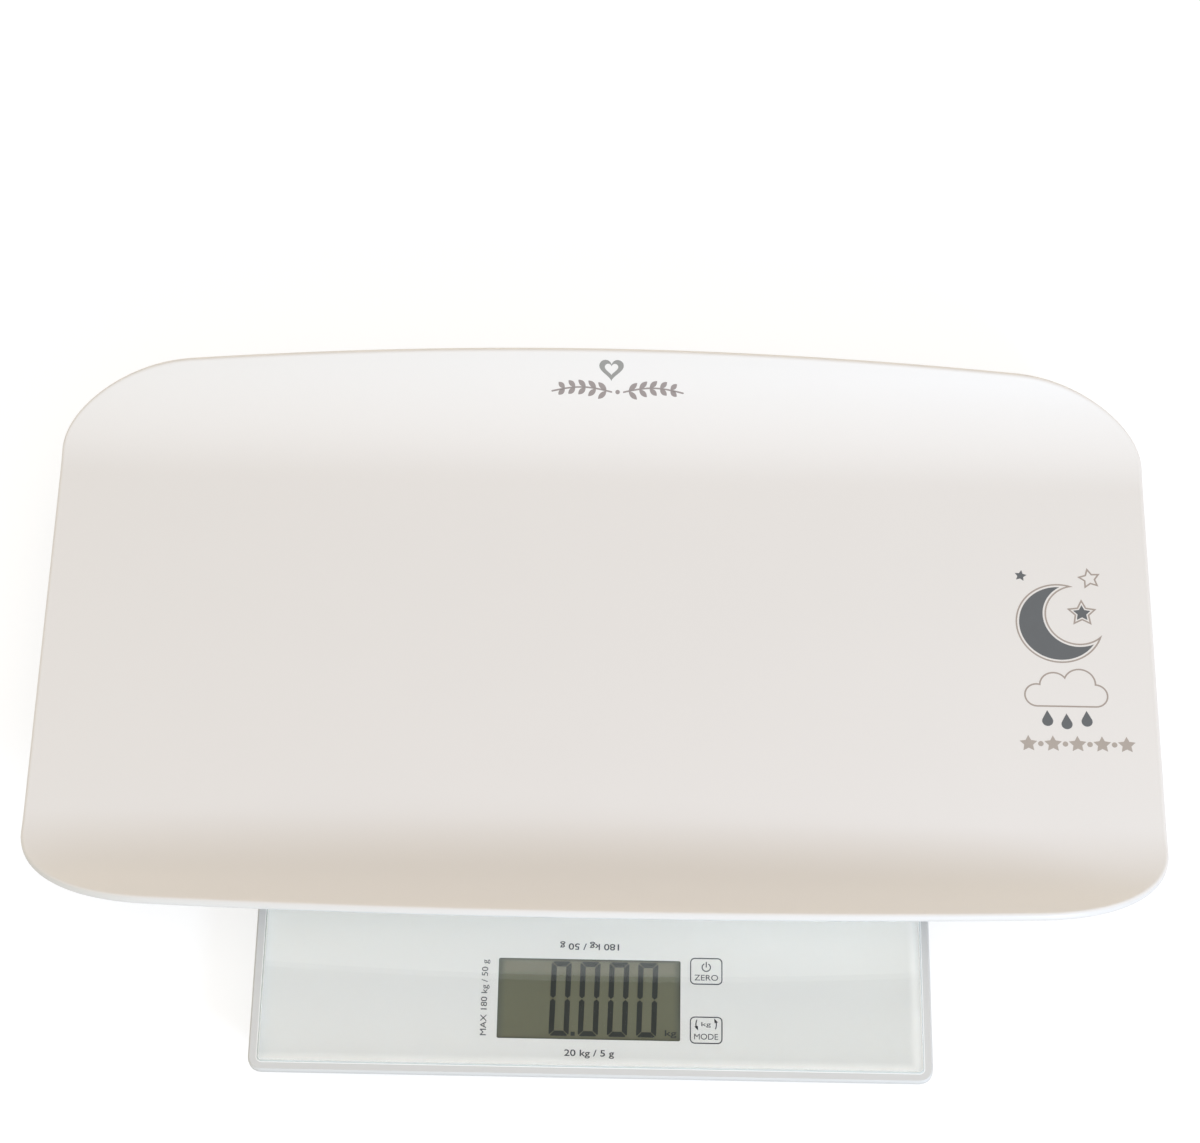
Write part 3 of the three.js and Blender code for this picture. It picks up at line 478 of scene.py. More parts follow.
def tray_stations():
    """Points of the back edge from left to right, each with its outward direction in plan."""
    length, depth = TRAY_CORNER_LENGTH, TRAY_CORNER_DEPTH
    middle_x = TRAY_HALF_LENGTH - length
    start = atan(2 * TRAY_BOW / middle_x * length / depth)
    start_x = middle_x + length * sin(start)
    bow_radius = start_x ** 2 / (2 * TRAY_BOW)
    middle_y = TRAY_HALF_DEPTH - TRAY_BOW - depth * cos(start)
    right = []
    for step in range(TRAY_CORNER_STEPS + 1):
        angle = start + step / TRAY_CORNER_STEPS * (pi / 2 - start)
        across, up = sin(angle), cos(angle)
        right.append((middle_x + length * across, middle_y + depth * up, across / length, up / depth))
    middle = []
    for step in range(1, TRAY_MIDDLE_STEPS):
        x = start_x * (2 * step / TRAY_MIDDLE_STEPS - 1)
        middle.append((x, TRAY_HALF_DEPTH - x * x / (2 * bow_radius), x / bow_radius, 1))
    left = [(-x, y, -plan_x, plan_y) for x, y, plan_x, plan_y in reversed(right)]
    return left + middle + right


def tray_rows(reach):
    """Distances from the middle line of one column's points, front edge to back edge."""
    end = tray_angle(reach)
    wall = [TRAY_FLAT_HALF + TRAY_WALL_RADIUS * sin(end * step / TRAY_WALL_STEPS)
            for step in range(TRAY_WALL_STEPS + 1)]
    floor = [TRAY_FLAT_HALF * (2 * step / TRAY_FLOOR_STEPS - 1) for step in range(1, TRAY_FLOOR_STEPS)]
    return [-y for y in reversed(wall)] + floor + wall


def tray_border(stations, rows):
    """The grid's outer points in order: index, place, surface normal and outward direction."""
    last_column, last_row = len(stations) - 1, len(rows[0]) - 1
    half = [(c, 0) for c in range(last_column)] + [(last_column, r) for r in range(last_row)]
    other_half = [(last_column - c, last_row - r) for c, r in half]
    border = []
    for column, row in half + other_half:
        x, _, plan_x, plan_y = stations[column]
        y = rows[column][row]
        if column in (0, last_column):
            plan_x, plan_y = copysign(1, x), 0
        normal = tray_normal(y)
        along = Vector((-copysign(plan_y, y), plan_x, -normal.y * plan_x / normal.z))
        index = column * (last_row + 1) + row
        border.append((index, tray_point(x, y), normal, along.cross(normal).normalized()))
    return border


def tray_sheet():
    """A grid of points on top, one underneath, and rings of points round the edge between them."""
    stations = tray_stations()
    rows = [tray_rows(station[1]) for station in stations]
    columns, height = len(stations), len(rows[0])
    inset = (TRAY_HALF_LENGTH - TRAY_EDGE_ROUND) / TRAY_HALF_LENGTH
    top = [tray_point(stations[c][0] * inset, y) for c in range(columns) for y in rows[c]]
    border = tray_border(stations, rows)
    for index, point, _, outward in border:
        top[index] = point - outward * TRAY_EDGE_ROUND
    bottom = [top[c * height + r] - tray_normal(rows[c][r]) * TRAY_THICKNESS
              for c in range(columns) for r in range(height)]
    upper = [(TRAY_EDGE_ROUND - across, TRAY_EDGE_ROUND - up)
             for up, across in arc(TRAY_EDGE_ROUND, 0, 90, steps=TRAY_ROUND_STEPS)[1:]]
    lower = [(inward, TRAY_THICKNESS - down) for inward, down in reversed(upper)]
    rings = [[point - outward * inward - normal * down for _, point, normal, outward in border]
             for inward, down in upper + lower]

    size, count = columns * height, len(border)
    faces = []
    for c in range(columns - 1):
        for r in range(height - 1):
            a, b = c * height + r, (c + 1) * height + r
            faces.append((a, b, b + 1, a + 1))
            faces.append((size + a, size + a + 1, size + b + 1, size + b))
    outer = [index for index, *_ in border]
    levels = [outer]
    levels += [range(2 * size + i * count, 2 * size + (i + 1) * count) for i in range(len(rings))]
    levels.append([size + index for index in outer])
    for above, below in zip(levels, levels[1:]):
        for i in range(count):
            j = (i + 1) % count
            faces.append((below[i], below[j], above[j], above[i]))
    return mesh_from(top + bottom + [point for points in rings for point in points], faces)


def tray_cross_rib(x):
    """A rib across the underside that runs out on the curved walls, thinner at its foot."""
    foot_half, reach = [TRAY_FLAT_HALF + share * TRAY_WALL_WIDTH
                        for share in (TRAY_RIB_FOOT_SHARE, TRAY_RIB_REACH_SHARE)]
    sides = []
    for side in (-1, 1):
        tip_x, root_x = x + side * TRAY_RIB_TIP / 2, x + side * TRAY_RIB_ROOT / 2
        foot = [(tip_x, y, TRAY_FLOOR_BOTTOM - TRAY_RIB_HEIGHT) for y in (-foot_half, foot_half)]
        root = [tray_point(root_x, y) - tray_normal(y) * TRAY_THICKNESS / 2
                for y in reversed(tray_rows(reach)) if abs(y) >= TRAY_FLAT_HALF]
        sides.append(foot + root)
    return solid_between(*sides)


def tray_length_rib(y):
    end = TRAY_HALF_LENGTH - TRAY_RIB_END_MARGIN
    tip, root = [[(-end, y - half), (end, y - half), (end, y + half), (-end, y + half)]
                 for half in (TRAY_RIB_TIP / 2, TRAY_RIB_ROOT / 2)]
    return prism(tip, TRAY_FLOOR_BOTTOM - TRAY_RIB_HEIGHT, TRAY_FLOOR_BOTTOM + OVERLAP, root)


def tray_body():
    """The sheet with ribs underneath, and with a boss and a pocket for each rubber pad."""
    pad_low, pad_middle, pad_high = box_of("tray_pad_front_left")
    spread_x, spread_y = abs(pad_middle.x), abs(pad_middle.y - TRAY_Y)
    pads = [(side_x * spread_x, side_y * spread_y) for side_x in (-1, 1) for side_y in (-1, 1)]
    outer_x = TRAY_RIB_OUTER_SPREAD / 2
    pocket = (pad_high.x - pad_low.x) / 2 + SEAT_GAP
    pocket_top = pad_high.z + SEAT_GAP
    boss_low = pocket_top - TRAY_POCKET_DEPTH
    joins = [tray_cross_rib(x) for x in (0, -spread_x, spread_x, -outer_x, outer_x)]
    joins += [tray_length_rib(y) for y in (-spread_y, 0, spread_y)]
    joins += [prism(circle(pocket + TRAY_BOSS_WALL, x, y), boss_low, TRAY_FLOOR_BOTTOM + OVERLAP)
              for x, y in pads]
    cuts = [prism(circle(pocket, x, y), boss_low - OVERLAP, pocket_top) for x, y in pads]
    return smooth(moved(combined(tray_sheet(), joins, cuts), y=TRAY_Y))


SPECK_SPACING = 75
SPECK_RADIUS = 0.55
SPECK_SHARE = 0.09
# Painted shade on the outward face of the tray's front edge
LIP_SHADE_FADE = 10
LIP_SHADE_TILT = (-0.05, -0.5)


def tray_plastic():
    """Satin white plastic with a few faint specks, and painted shade on the outward face of its front
    edge.
    """
    s = finish("tray_plastic", (231, 227, 224), 0.42, mottle=0.006, mottle_size=120,
               grain_size=1.1, grain_depth=0.0012, rough_spread=0.05)
    cells = s.add("TexVoronoi", {"Vector": s.place, "Scale": 1 / (SPECK_SPACING * MM)})
    size = SPECK_RADIUS / SPECK_SPACING
    # Painted shade darkens the outward face of the front edge.
    s.paint(painted_lip_shade(s), (222, 219, 216))
    s.paint(s.ramp(cells.outputs["Distance"], 2 * size, size, end=SPECK_SHARE), (150, 144, 138))
    return s.material


def painted_lip_shade(s):
    """Share of a point that lies on the outward face of the tray's front edge, which gets painted shade.
    """
    wall_foot = TRAY_Y - TRAY_FLAT_HALF
    front = s.fade(s.split(s.place)[1], wall_foot, wall_foot - LIP_SHADE_FADE)
    return s.math("MULTIPLY", front, s.ramp(s.split(s.normal)[1], *LIP_SHADE_TILT))


tray = new_piece("cradle_tray", tray_body(), tray_plastic(), "tray")
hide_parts("tray_shell")


# Prints on the platform, seen through the glass

KEY_RISE = 0.3
KEY_CAPS = 2.85
KEY_WORD_WIDTH = 10.8
WORD_DROP = 2.95
POWER_RISE = 1.9
POWER_RADIUS = 1.9
POWER_GAP = 34
POWER_BAR = (0.19, 2.47)
SWAP_RISE = 2.75
SWAP_CAPS = 2.1
SWAP_WIDTH = 4.3
SWAP_WORD_RISE = 0.2
ARROW_RADIUS = 4.65
ARROW_SWEEP = 25
ARROW_HEAD = 14
ARROW_HEAD_HALF = 0.8
RANGE_CAPS = 3.1
RANGE_BOLD = 0.015
FRONT_RANGE_WIDTH = 22.5
FRONT_RANGE_X = -0.7
FRONT_RANGE_GAP = 6.25
BACK_RANGE_WIDTH = 27
BACK_RANGE_X = -1.4
BACK_RANGE_GAP = 5.85
SIDE_RANGE_CAPS = 2.9
SIDE_RANGE_WIDTH = 36
SIDE_RANGE_GAP = 6.3


def key_frame(y):
    return filled(ring(lambda out: rounded_rect(
        KEY_WIDTH / 2 + out, KEY_DEPTH / 2 + out, KEY_CORNER + out, KEY_COLUMN, y), PRINT_LINE))


def key_word(text, y):
    return moved(lettering(text, KEY_CAPS, KEY_WORD_WIDTH), KEY_COLUMN, y - WORD_DROP)


def power_icon(y):
    loop = arc(POWER_RADIUS, 90 + POWER_GAP, 450 - POWER_GAP, KEY_COLUMN, y)
    bar = [(KEY_COLUMN, y + height) for height in POWER_BAR]
    return plates([stroke(loop, PRINT_LINE), stroke(bar, PRINT_LINE)])


def swap_icon(y):
    """Two curved arrows that face each other round a small unit."""
    loops = []
    for side in (0, 180):
        shaft = arc(ARROW_RADIUS, side - ARROW_SWEEP, side + ARROW_SWEEP, KEY_COLUMN, y)
        loops.append(stroke(shaft, PRINT_LINE))
        tip = polar(ARROW_RADIUS, side + ARROW_SWEEP + ARROW_HEAD, KEY_COLUMN, y)
        barbs = [polar(ARROW_RADIUS + reach, side + ARROW_SWEEP - ARROW_HEAD, KEY_COLUMN, y)
                 for reach in (-ARROW_HEAD_HALF, ARROW_HEAD_HALF)]
        loops.append([tip, *barbs])
    unit = moved(lettering("kg", SWAP_CAPS, SWAP_WIDTH), KEY_COLUMN, y + SWAP_WORD_RISE)
    return joined([plates(loops), unit])


def platform_prints():
    upper = WINDOW_MIDDLE + KEY_RISE + KEY_PITCH / 2
    lower = upper - KEY_PITCH
    front = lettering("20 kg / 5 g", RANGE_CAPS, FRONT_RANGE_WIDTH, RANGE_BOLD)
    back = lettering("180 kg / 50 g", RANGE_CAPS, BACK_RANGE_WIDTH, RANGE_BOLD)
    side = lettering("MAX 180 kg / 50 g", SIDE_RANGE_CAPS, SIDE_RANGE_WIDTH)
    side_x = WINDOW_SHIFT - WINDOW_WIDTH / 2 - SIDE_RANGE_GAP
    prints = {
        "key_frame_zero": key_frame(upper),
        "key_frame_mode": key_frame(lower),
        "key_icon_zero": power_icon(upper + POWER_RISE),
        "key_icon_mode": swap_icon(lower + SWAP_RISE),
        "key_word_zero": key_word("ZERO", upper),
        "key_word_mode": key_word("MODE", lower),
        "range_front": moved(front, FRONT_RANGE_X, WINDOW_FRONT - FRONT_RANGE_GAP),
        "range_back": moved(back, BACK_RANGE_X, WINDOW_BACK + BACK_RANGE_GAP, turn=180),
        "range_side": moved(side, side_x, WINDOW_MIDDLE, turn=90),
    }
    grey_ink = ink("grey_print", (62, 59, 60))
    for name, mesh in prints.items():
        new_piece(name, moved(mesh, z=PRINT_LEVEL), grey_ink, "platform")


platform_prints()


# Plastic round the glass


def light_passing_plastic(name, color):
    """Plastic round the glass, which takes no light from the print beside it.

    The real glass lets light in through its edges, so shadow rays pass what stands above the print.
    """
    s = finish(name, color, 0.46, mottle=0.008, mottle_size=70, grain_size=0.9, grain_depth=0.003)
    above = s.math("GREATER_THAN", s.split(s.place)[2], PRINT_LEVEL * MM)
    share = s.math("MULTIPLY", s.ray("Shadow"), above)
    s.show(s.blend(share, s.surface.outputs[0], s.layer("BsdfTransparent")))
    return s.material


def glass_gasket():
    """A thin filler in the slit between the glass's edge and the rim."""
    inner, outer = [rounded_rect(GLASS_HALF + out, GLASS_HALF + out, GLASS_CORNER + out)
                    for out in (GASKET_GAP, GASKET_WIDTH)]
    middle = GLASS_TOP - GASKET_DROP - GASKET_HEIGHT / 2
    mesh = moved(filled([outer, inner], GASKET_HEIGHT), 0, PLATFORM_Y, middle)
    material = light_passing_plastic("glass_gasket", (250, 249, 247))
    new_piece("glass_gasket", mesh, material, "platform")


base_plastic = light_passing_plastic("base_plastic", (211, 210, 208))
glass_gasket()


# Underside: treads of the feet, marks on the battery door and round the unit button

FOOT_GROOVES = (4.5, 9, 13.5)
GROOVE_WIDTH = 1.2
GROOVE_DEPTH = 0.7
FOOT_EDGE = 0.7
FOOT_EDGE_SWELL = 0.3
FOOT_TOP_EDGE = 0.2
GRIP_BARS = 3
GRIP_PITCH = 2.4
GRIP_MARGIN = 14
GRIP_HALF_LENGTH = 7.8
GRIP_HALF_WIDTH = 0.3
GRIP_TAPER = 0.3
GRIP_END_FLAT = 0.01
GRIP_HEIGHT = 0.45
GRIP_ROOT = 0.2
ARROW_GAP = 3.5
ARROW_SHAPE = ((-2, -3), (2.5, 0), (-2, 3))
MARK_HEIGHT = 0.3
MARK_CAPS = 4
OPEN_GAP = 14
UNIT_WORD_GAP = 17
BUTTON_RING_GAP = 1.8
BUTTON_RING_WIDTH = 0.7
CORNERS = ("front_left", "front_right", "back_left", "back_right")


def turned(profile, x, y, sides=72):
    """A solid turned round a line, from (radius, height) points that start and end on it."""
    vertices = [(x, y, profile[0][1])]
    for radius, height in profile[1:-1]:
        vertices += [(*point, height) for point in circle(radius, x, y, sides)]
    vertices.append((x, y, profile[-1][1]))
    faces = []
    last = 1 + (len(profile) - 3) * sides
    for i in range(sides):
        j = (i + 1) % sides
        faces.append((0, 1 + j, 1 + i))
        for low in range(1, last, sides):
            high = low + sides
            faces.append((low + i, low + j, high + j, high + i))
        faces.append((last + i, last + j, len(vertices) - 1))
    return mesh_from(vertices, faces)


def foot_treads(material):
    """Rubber feet with round grooves in their soles."""
    for corner in CORNERS:
        name = f"rubber_foot_{corner}"
        low, middle, high = box_of(name)
        sole, top, radius = low.z, high.z, (high.x - low.x) / 2
        swell = FOOT_EDGE * FOOT_EDGE_SWELL
        deep = sole + GROOVE_DEPTH
        profile = [(0, sole)]
        for start in FOOT_GROOVES:
            end = start + GROOVE_WIDTH
            profile += [(start, sole), (start, deep), (end, deep), (end, sole)]
        profile += [(radius - FOOT_EDGE, sole), (radius - swell, sole + swell),
                    (radius, sole + FOOT_EDGE), (radius, top - FOOT_TOP_EDGE),
                    (radius - FOOT_TOP_EDGE, top), (0, top)]
        mesh = smooth(turned(profile, middle.x, middle.y))
        foot = new_piece(f"foot_tread_{corner}", mesh, material, "platform")
        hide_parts(name)


def raised(mesh, x, y, surface):
    """A flat mark turned face down and raised from a surface of the underside."""
    mesh.transform(Matrix.Translation((x, y, surface))
                   @ Matrix.Diagonal((1, 1, MARK_HEIGHT / PRINT_THICKNESS, 1))
                   @ Matrix.Rotation(pi, 4, "X"))
    return mesh


def door_marks():
    """Grip bars, an arrow and a word on the battery door."""
    low, middle, high = box_of("battery_door")
    y = middle.y
    bars = []
    for i in range(GRIP_BARS):
        x = high.x - GRIP_MARGIN - i * GRIP_PITCH
        tip, root = [rounded_rect(half, half - GRIP_HALF_WIDTH + GRIP_HALF_LENGTH,
                                  half - GRIP_END_FLAT, x, y)
                     for half in (GRIP_HALF_WIDTH, GRIP_HALF_WIDTH + GRIP_TAPER)]
        bars.append(prism(tip, low.z - GRIP_HEIGHT, low.z + GRIP_ROOT, root))
    new_piece("door_grip", smooth(joined(bars)), base_plastic, "battery_door")
    arrow_x = high.x - GRIP_MARGIN - GRIP_BARS * GRIP_PITCH - ARROW_GAP
    marks = joined([raised(filled([ARROW_SHAPE]), arrow_x, y, low.z),
                    raised(lettering("OPEN", MARK_CAPS), arrow_x - OPEN_GAP, y, low.z)])
    new_piece("door_marks", marks, base_plastic, "battery_door")


def base_marks():
    """A ring round the unit button and a word beside it."""
    underside = box_of("base_shell")[0].z
    low, middle, high = box_of("unit_button")
    radius = (high.x - low.x) / 2 + BUTTON_RING_GAP
    loop = filled(ring(lambda out: circle(radius + out), BUTTON_RING_WIDTH))
    word = lettering("UNIT", MARK_CAPS)
    marks = joined([raised(loop, middle.x, middle.y, underside),
                    raised(word, middle.x + UNIT_WORD_GAP, middle.y, underside)])
    new_piece("base_marks", marks, base_plastic, "platform")


door_marks()
base_marks()


# Display

DIGITS = 4
DIGIT_WIDTH = 9.15
DIGIT_HEIGHT = 35.4
DIGIT_PITCH = 13.2
DIGIT_STROKE = 2.5
DIGIT_CHAMFER = 1.0
DIGIT_SLANT = 0.022
DIGIT_GAP = 0.3
DIGIT_TAPER = 0.45
DIGITS_LEFT = -19.3
DIGITS_FRONT_MARGIN = 1.7
POINT_HALF = 0.95
POINT_CORNER = 0.2
POINT_RISE = 1.05
POINT_SHARE = 0.45
UNIT_X = 36
UNIT_RISE = 2.3
UNIT_CAPS = 2.9
UNIT_WIDTH = 5.3
UNIT_BOLD = 0.02
# Painted reflection of the tray's edge along the display's back
REFLECTION_START = 9.5
REFLECTION_FULL = 5


def zero_digit(left):
    """The six lit bars of a zero, mitred at the corners and cut at the middle, with its slant."""
    gap = DIGIT_GAP / 2
    inner, outer = DIGIT_STROKE, DIGIT_CHAMFER / 2
    cut = DIGIT_HEIGHT / 2 - gap
    tapered = cut - inner * DIGIT_TAPER
    half_level = [(inner + gap / 2, inner - gap / 2), (outer + gap, outer - gap), (2 * outer + gap, 0)]
    level = half_level + [(DIGIT_WIDTH - x, y) for x, y in reversed(half_level)]
    upright = [(0, 2 * outer + gap), (outer - gap, outer + gap), (inner - gap / 2, inner + gap / 2),
               (inner, tapered), (inner / 2, cut), (0, tapered)]
    far_upright = [(DIGIT_WIDTH - x, y) for x, y in upright]
    bars = [level, upright, far_upright]
    bars += [[(x, DIGIT_HEIGHT - y) for x, y in bar] for bar in bars]
    return [[(left + x + y * DIGIT_SLANT, y) for x, y in bar] for bar in bars]


def painted_reflection_share(s):
    """Share of a painted reflection of the tray's edge: a pale band along the display's back edge."""
    return s.fade(s.split(s.place)[1], WINDOW_BACK - REFLECTION_START, WINDOW_BACK - REFLECTION_FULL)


def segment_material():
    s = finish("lcd_segments", (46, 48, 43), 0.35, mottle=0.03, mottle_size=8)
    # Painted reflection: the digits are paler in the band along the display's back edge.
    s.paint(painted_reflection_share(s), (74, 75, 70))
    return s.material


def display_digits():
    """Zeros with a point after the first of them, and the unit."""
    loops = [loop for i in range(DIGITS) for loop in zero_digit(i * DIGIT_PITCH)]
    point_x = DIGIT_WIDTH + (DIGIT_PITCH - DIGIT_WIDTH) * POINT_SHARE
    loops.append(rounded_rect(POINT_HALF, POINT_HALF, POINT_CORNER, point_x, POINT_RISE))
    unit = lettering("kg", UNIT_CAPS, UNIT_WIDTH, UNIT_BOLD)
    material = segment_material()
    base_y = WINDOW_FRONT + DIGITS_FRONT_MARGIN
    level = box_of("lcd_panel")[2].z + PRINT_THICKNESS / 2
    for name, mesh in (("display_digits", moved(plates(loops), DIGITS_LEFT)),
                       ("display_unit", moved(unit, UNIT_X, UNIT_RISE))):
        new_piece(name, moved(mesh, y=base_y, z=level), material, "platform")


display_digits()


# Generic motifs on the tray: night sky by the foot end, twigs and a heart on the back wall.
# A round form is its middle's x and y and its radius.

MOTIF_LINE = 0.75
NIGHT_X = 221
NIGHT_Y = 6
MOON_DISC = (-1.5, 10, 20.5)
MOON_BITE = (7.5, 14.5, 15.5)
MOON_STEPS = 48
MOON_INSET = 1.3
CLOUD_PUFFS = ((13.7, -27.7, 5.7), (6.5, -21.6, 7.5), (-5.7, -22.7, 6.7), (-13.9, -27.7, 5.7))
PUFF_STEPS = 16
STAR_POINTS = 5
STAR_WAIST = 0.5
STAR_REACH = 2.26
BIG_STAR = (9.5, 15.5, 6.6)
BIG_STAR_INSET = 1
HIGH_STAR = (14, 34, 5)
HIGH_STAR_TURN = 100
LOW_STAR = (-19, 35, 3)
LOW_STAR_TURN = 80
DROPS = ((-9.5, -41), (-0.5, -42.5), (9, -41))
DROP_RADIUS = 2.6
DROP_POINT = 2.1
DROP_ARC = (150, 390)
DROP_STEPS = 20
BAND_X = 225
BAND_Y = -46.7
BAND_PITCH = 11.5
BAND_REACH = 2
BAND_STAR = 4.3
BAND_DOT = 1.3
BAND_DOT_SIDES = 24


def star(x, y, radius, out=0.0, turn=90.0):
    """A star, moved outwards by a small distance: its tips move by STAR_REACH times as much."""
    radius += STAR_REACH * out
    return [polar(radius * (STAR_WAIST if i % 2 else 1), turn + 180 * i / STAR_POINTS, x, y)
            for i in range(2 * STAR_POINTS)]


def grown(disc, out):
    x, y, radius = disc
    return x, y, radius + out


def meeting(first, second, side):
    """Angles, seen from two round forms' middles, of the point where they cross on one side."""
    (x, y, radius), (to_x, to_y, to_radius) = first, second
    distance = hypot(to_x - x, to_y - y)
    direction = degrees(atan2(to_y - y, to_x - x))

    def cut(own, other):
        return degrees(acos((own ** 2 + distance ** 2 - other ** 2) / (2 * own * distance)))

    return direction + side * cut(radius, to_radius), direction + 180 - side * cut(to_radius, radius)


def moon(out):
    """The moon's outline, moved outwards by a small distance: a disc with a round bite."""
    disc, bite = grown(MOON_DISC, out), grown(MOON_BITE, -out)
    start, inner_end = meeting(disc, bite, 1)
    end, inner_start = meeting(disc, bite, -1)
    outer = arc(disc[2], start, start + (end - start) % 360, *disc[:2], MOON_STEPS)
    return outer + arc(bite[2], inner_start, inner_end, *bite[:2], MOON_STEPS)[1:-1]


def cloud(out):
    """A cloud's outline, moved outwards by a small distance: round puffs over a flat base."""
    puffs = [grown(puff, out) for puff in CLOUD_PUFFS]
    meetings = [meeting(puff, following, -1) for puff, following in zip(puffs, puffs[1:])]
    starts = [-90] + [start for _, start in meetings]
    ends = [end for end, _ in meetings] + [-90]
    outline = []
    for (x, y, radius), start, end in zip(puffs, starts, ends):
        outline = outline[:-1] + arc(radius, start, start + (end - start) % 360, x, y, PUFF_STEPS)
    return outline


def drop(x, y):
    """A drop with its point upwards."""
    return arc(DROP_RADIUS, *DROP_ARC, x, y, DROP_STEPS) + [(x, y + DROP_POINT * DROP_RADIUS)]


def big_star(out):
    return star(*BIG_STAR, out)


def high_star(out):
    return star(*HIGH_STAR, out, HIGH_STAR_TURN)


def floor_motif(name, mesh, x, y, material):
    """A print on the tray's floor, at a place from its middle."""
    level = TRAY_FLOOR_TOP + PRINT_THICKNESS / 2
    new_piece(name, moved(mesh, x, TRAY_Y + y, level), material, "tray")


def night_sky():
    dark = plates([moon(-MOON_INSET), big_star(-BIG_STAR_INSET), star(*LOW_STAR, turn=LOW_STAR_TURN)]
                  + [drop(x, y) for x, y in DROPS])
    lines = joined([filled(ring(outline, MOTIF_LINE)) for outline in (moon, big_star, high_star, cloud)])
    floor_motif("motif_night_dark", dark, NIGHT_X, NIGHT_Y, ink("motif_dark", (100, 103, 106)))
    floor_motif("motif_night_lines", lines, NIGHT_X, NIGHT_Y, ink("motif_line", (168, 156, 148)))


def star_band():
    """A row of small stars with dots between them."""
    stars = [star(i * BAND_PITCH, 0, BAND_STAR) for i in range(-BAND_REACH, BAND_REACH + 1)]
    dots = [circle(BAND_DOT, (i + 0.5) * BAND_PITCH, 0, BAND_DOT_SIDES)
            for i in range(-BAND_REACH, BAND_REACH)]
    floor_motif("motif_star_band", plates(stars + dots), BAND_X, BAND_Y,
                ink("motif_band", (176, 166, 158)))


SPRIG_X = 7
SPRIG_Y = -6.5
SPRIG_ANGLE = radians(43)
SPRIG_START = 3
SPRIG_LENGTH = 29
SPRIG_RISE = 2.2
SPRIG_STEPS = 12
SPRIG_LINE = 0.8
SPRIG_DOT = 1.1
SPRIG_DOT_SIDES = 20
LEAVES = 5
LEAF_MARGIN = 2.5
LEAF_PITCH = 5.1
LEAF_LENGTH = 5.6
LEAF_SHORTENING = 0.35
LEAF_WIDTH = 2.5
LEAF_FULLNESS = 0.8
LEAF_SPREAD = 44
LEAF_START = 0.2
LEAF_STEPS = 14
HEART_X = -3.2
HEART_Y = 5.2
HEART_HALF = 6
HEART_HOLE_SHARE = 0.55
HEART_STEPS = 40
BEND_EDGE = 1.2
BEND_ROUNDS = 3


def leaf(length, x, y, turn):
    outline = []
    for i in range(2 * LEAF_STEPS):
        side = 1 if i < LEAF_STEPS else -1
        share = 1 - abs(1 - i / LEAF_STEPS)
        half_width = LEAF_WIDTH / 2 * sin(pi * share) ** LEAF_FULLNESS
        point = Matrix.Rotation(radians(turn), 2) @ Vector((share * length, side * half_width))
        outline.append((x + point.x, y + point.y))
    return outline


def heart(half):
    """The usual heart curve, which reaches 16 of its own units to each side."""
    outline = []
    for i in range(HEART_STEPS):
        t = 2 * pi * i / HEART_STEPS
        height = 13 * cos(t) - 5 * cos(2 * t) - 2 * cos(3 * t) - cos(4 * t)
        outline.append((HEART_X + half * sin(t) ** 3, HEART_Y + half * height / 16))
    return outline


def sprig_height(distance):
    return SPRIG_Y + SPRIG_RISE * sin((distance - SPRIG_START) / SPRIG_LENGTH * pi)


def twig(side):
    """Outlines of a twig's stem and of its pairs of leaves."""
    stem = [SPRIG_START + SPRIG_LENGTH * i / SPRIG_STEPS for i in range(SPRIG_STEPS + 1)]
    loops = [stroke([(side * distance, sprig_height(distance)) for distance in stem], SPRIG_LINE)]
    for i in range(LEAVES):
        distance = SPRIG_START + LEAF_MARGIN + i * LEAF_PITCH
        for up in (-1, 1):
            loops.append(leaf(LEAF_LENGTH - LEAF_SHORTENING * i, side * distance,
                              sprig_height(distance) + up * LEAF_START,
                              90 - side * 90 + side * up * LEAF_SPREAD))
    return loops


def back_sprig():
    """A heart over two leafy twigs, laid on the curved back wall."""
    hearts = filled([heart(HEART_HALF), heart(HEART_HALF * HEART_HOLE_SHARE)])
    twigs = plates([circle(SPRIG_DOT, 0, SPRIG_Y, SPRIG_DOT_SIDES), *twig(-1), *twig(1)])
    for name, mesh, material in (("motif_heart", hearts, ink("heart_ink", (146, 144, 140))),
                                 ("motif_twigs", twigs, ink("sprig_ink", (150, 140, 137)))):
        bend_on_back_wall(mesh)
        new_piece(name, mesh, material, "tray")


def bend_on_back_wall(mesh):
    shape = bmesh.new()
    shape.from_mesh(mesh)
    for _ in range(BEND_ROUNDS):
        long_edges = [edge for edge in shape.edges if edge.calc_length() > BEND_EDGE]
        bmesh.ops.subdivide_edges(shape, edges=long_edges, cuts=1)
    bmesh.ops.triangulate(shape, faces=shape.faces)
    for vertex in shape.verts:
        angle = SPRIG_ANGLE + vertex.co.y / TRAY_WALL_RADIUS
        y = TRAY_FLAT_HALF + TRAY_WALL_RADIUS * sin(angle)
        lift = PRINT_THICKNESS / 2 + vertex.co.z
        point = tray_point(SPRIG_X + vertex.co.x, y) + tray_normal(y) * lift
        vertex.co = point + Vector((0, TRAY_Y, 0))
    shape.to_mesh(mesh)
    shape.free()


night_sky()
star_band()
back_sprig()


# Finishes of the CAD pieces

LOOSE_DISTANCE = 0.001
SHADE_ANGLE = 38
FLAT_ANGLE = 0.5
EDGE_ANGLE = 40
EDGE_STEPS = 2


def geometry_nodes(name):
    """A geometry node group, with its input and output sockets."""
    tree = bpy.data.node_groups.new(name, "GeometryNodeTree")
    for way in ("INPUT", "OUTPUT"):
        tree.interface.new_socket("Geometry", in_out=way, socket_type="NodeSocketGeometry")
    n = Nodes(tree, family="")
    return n, n.add("NodeGroupInput").outputs[0], n.add("NodeGroupOutput").inputs[0]


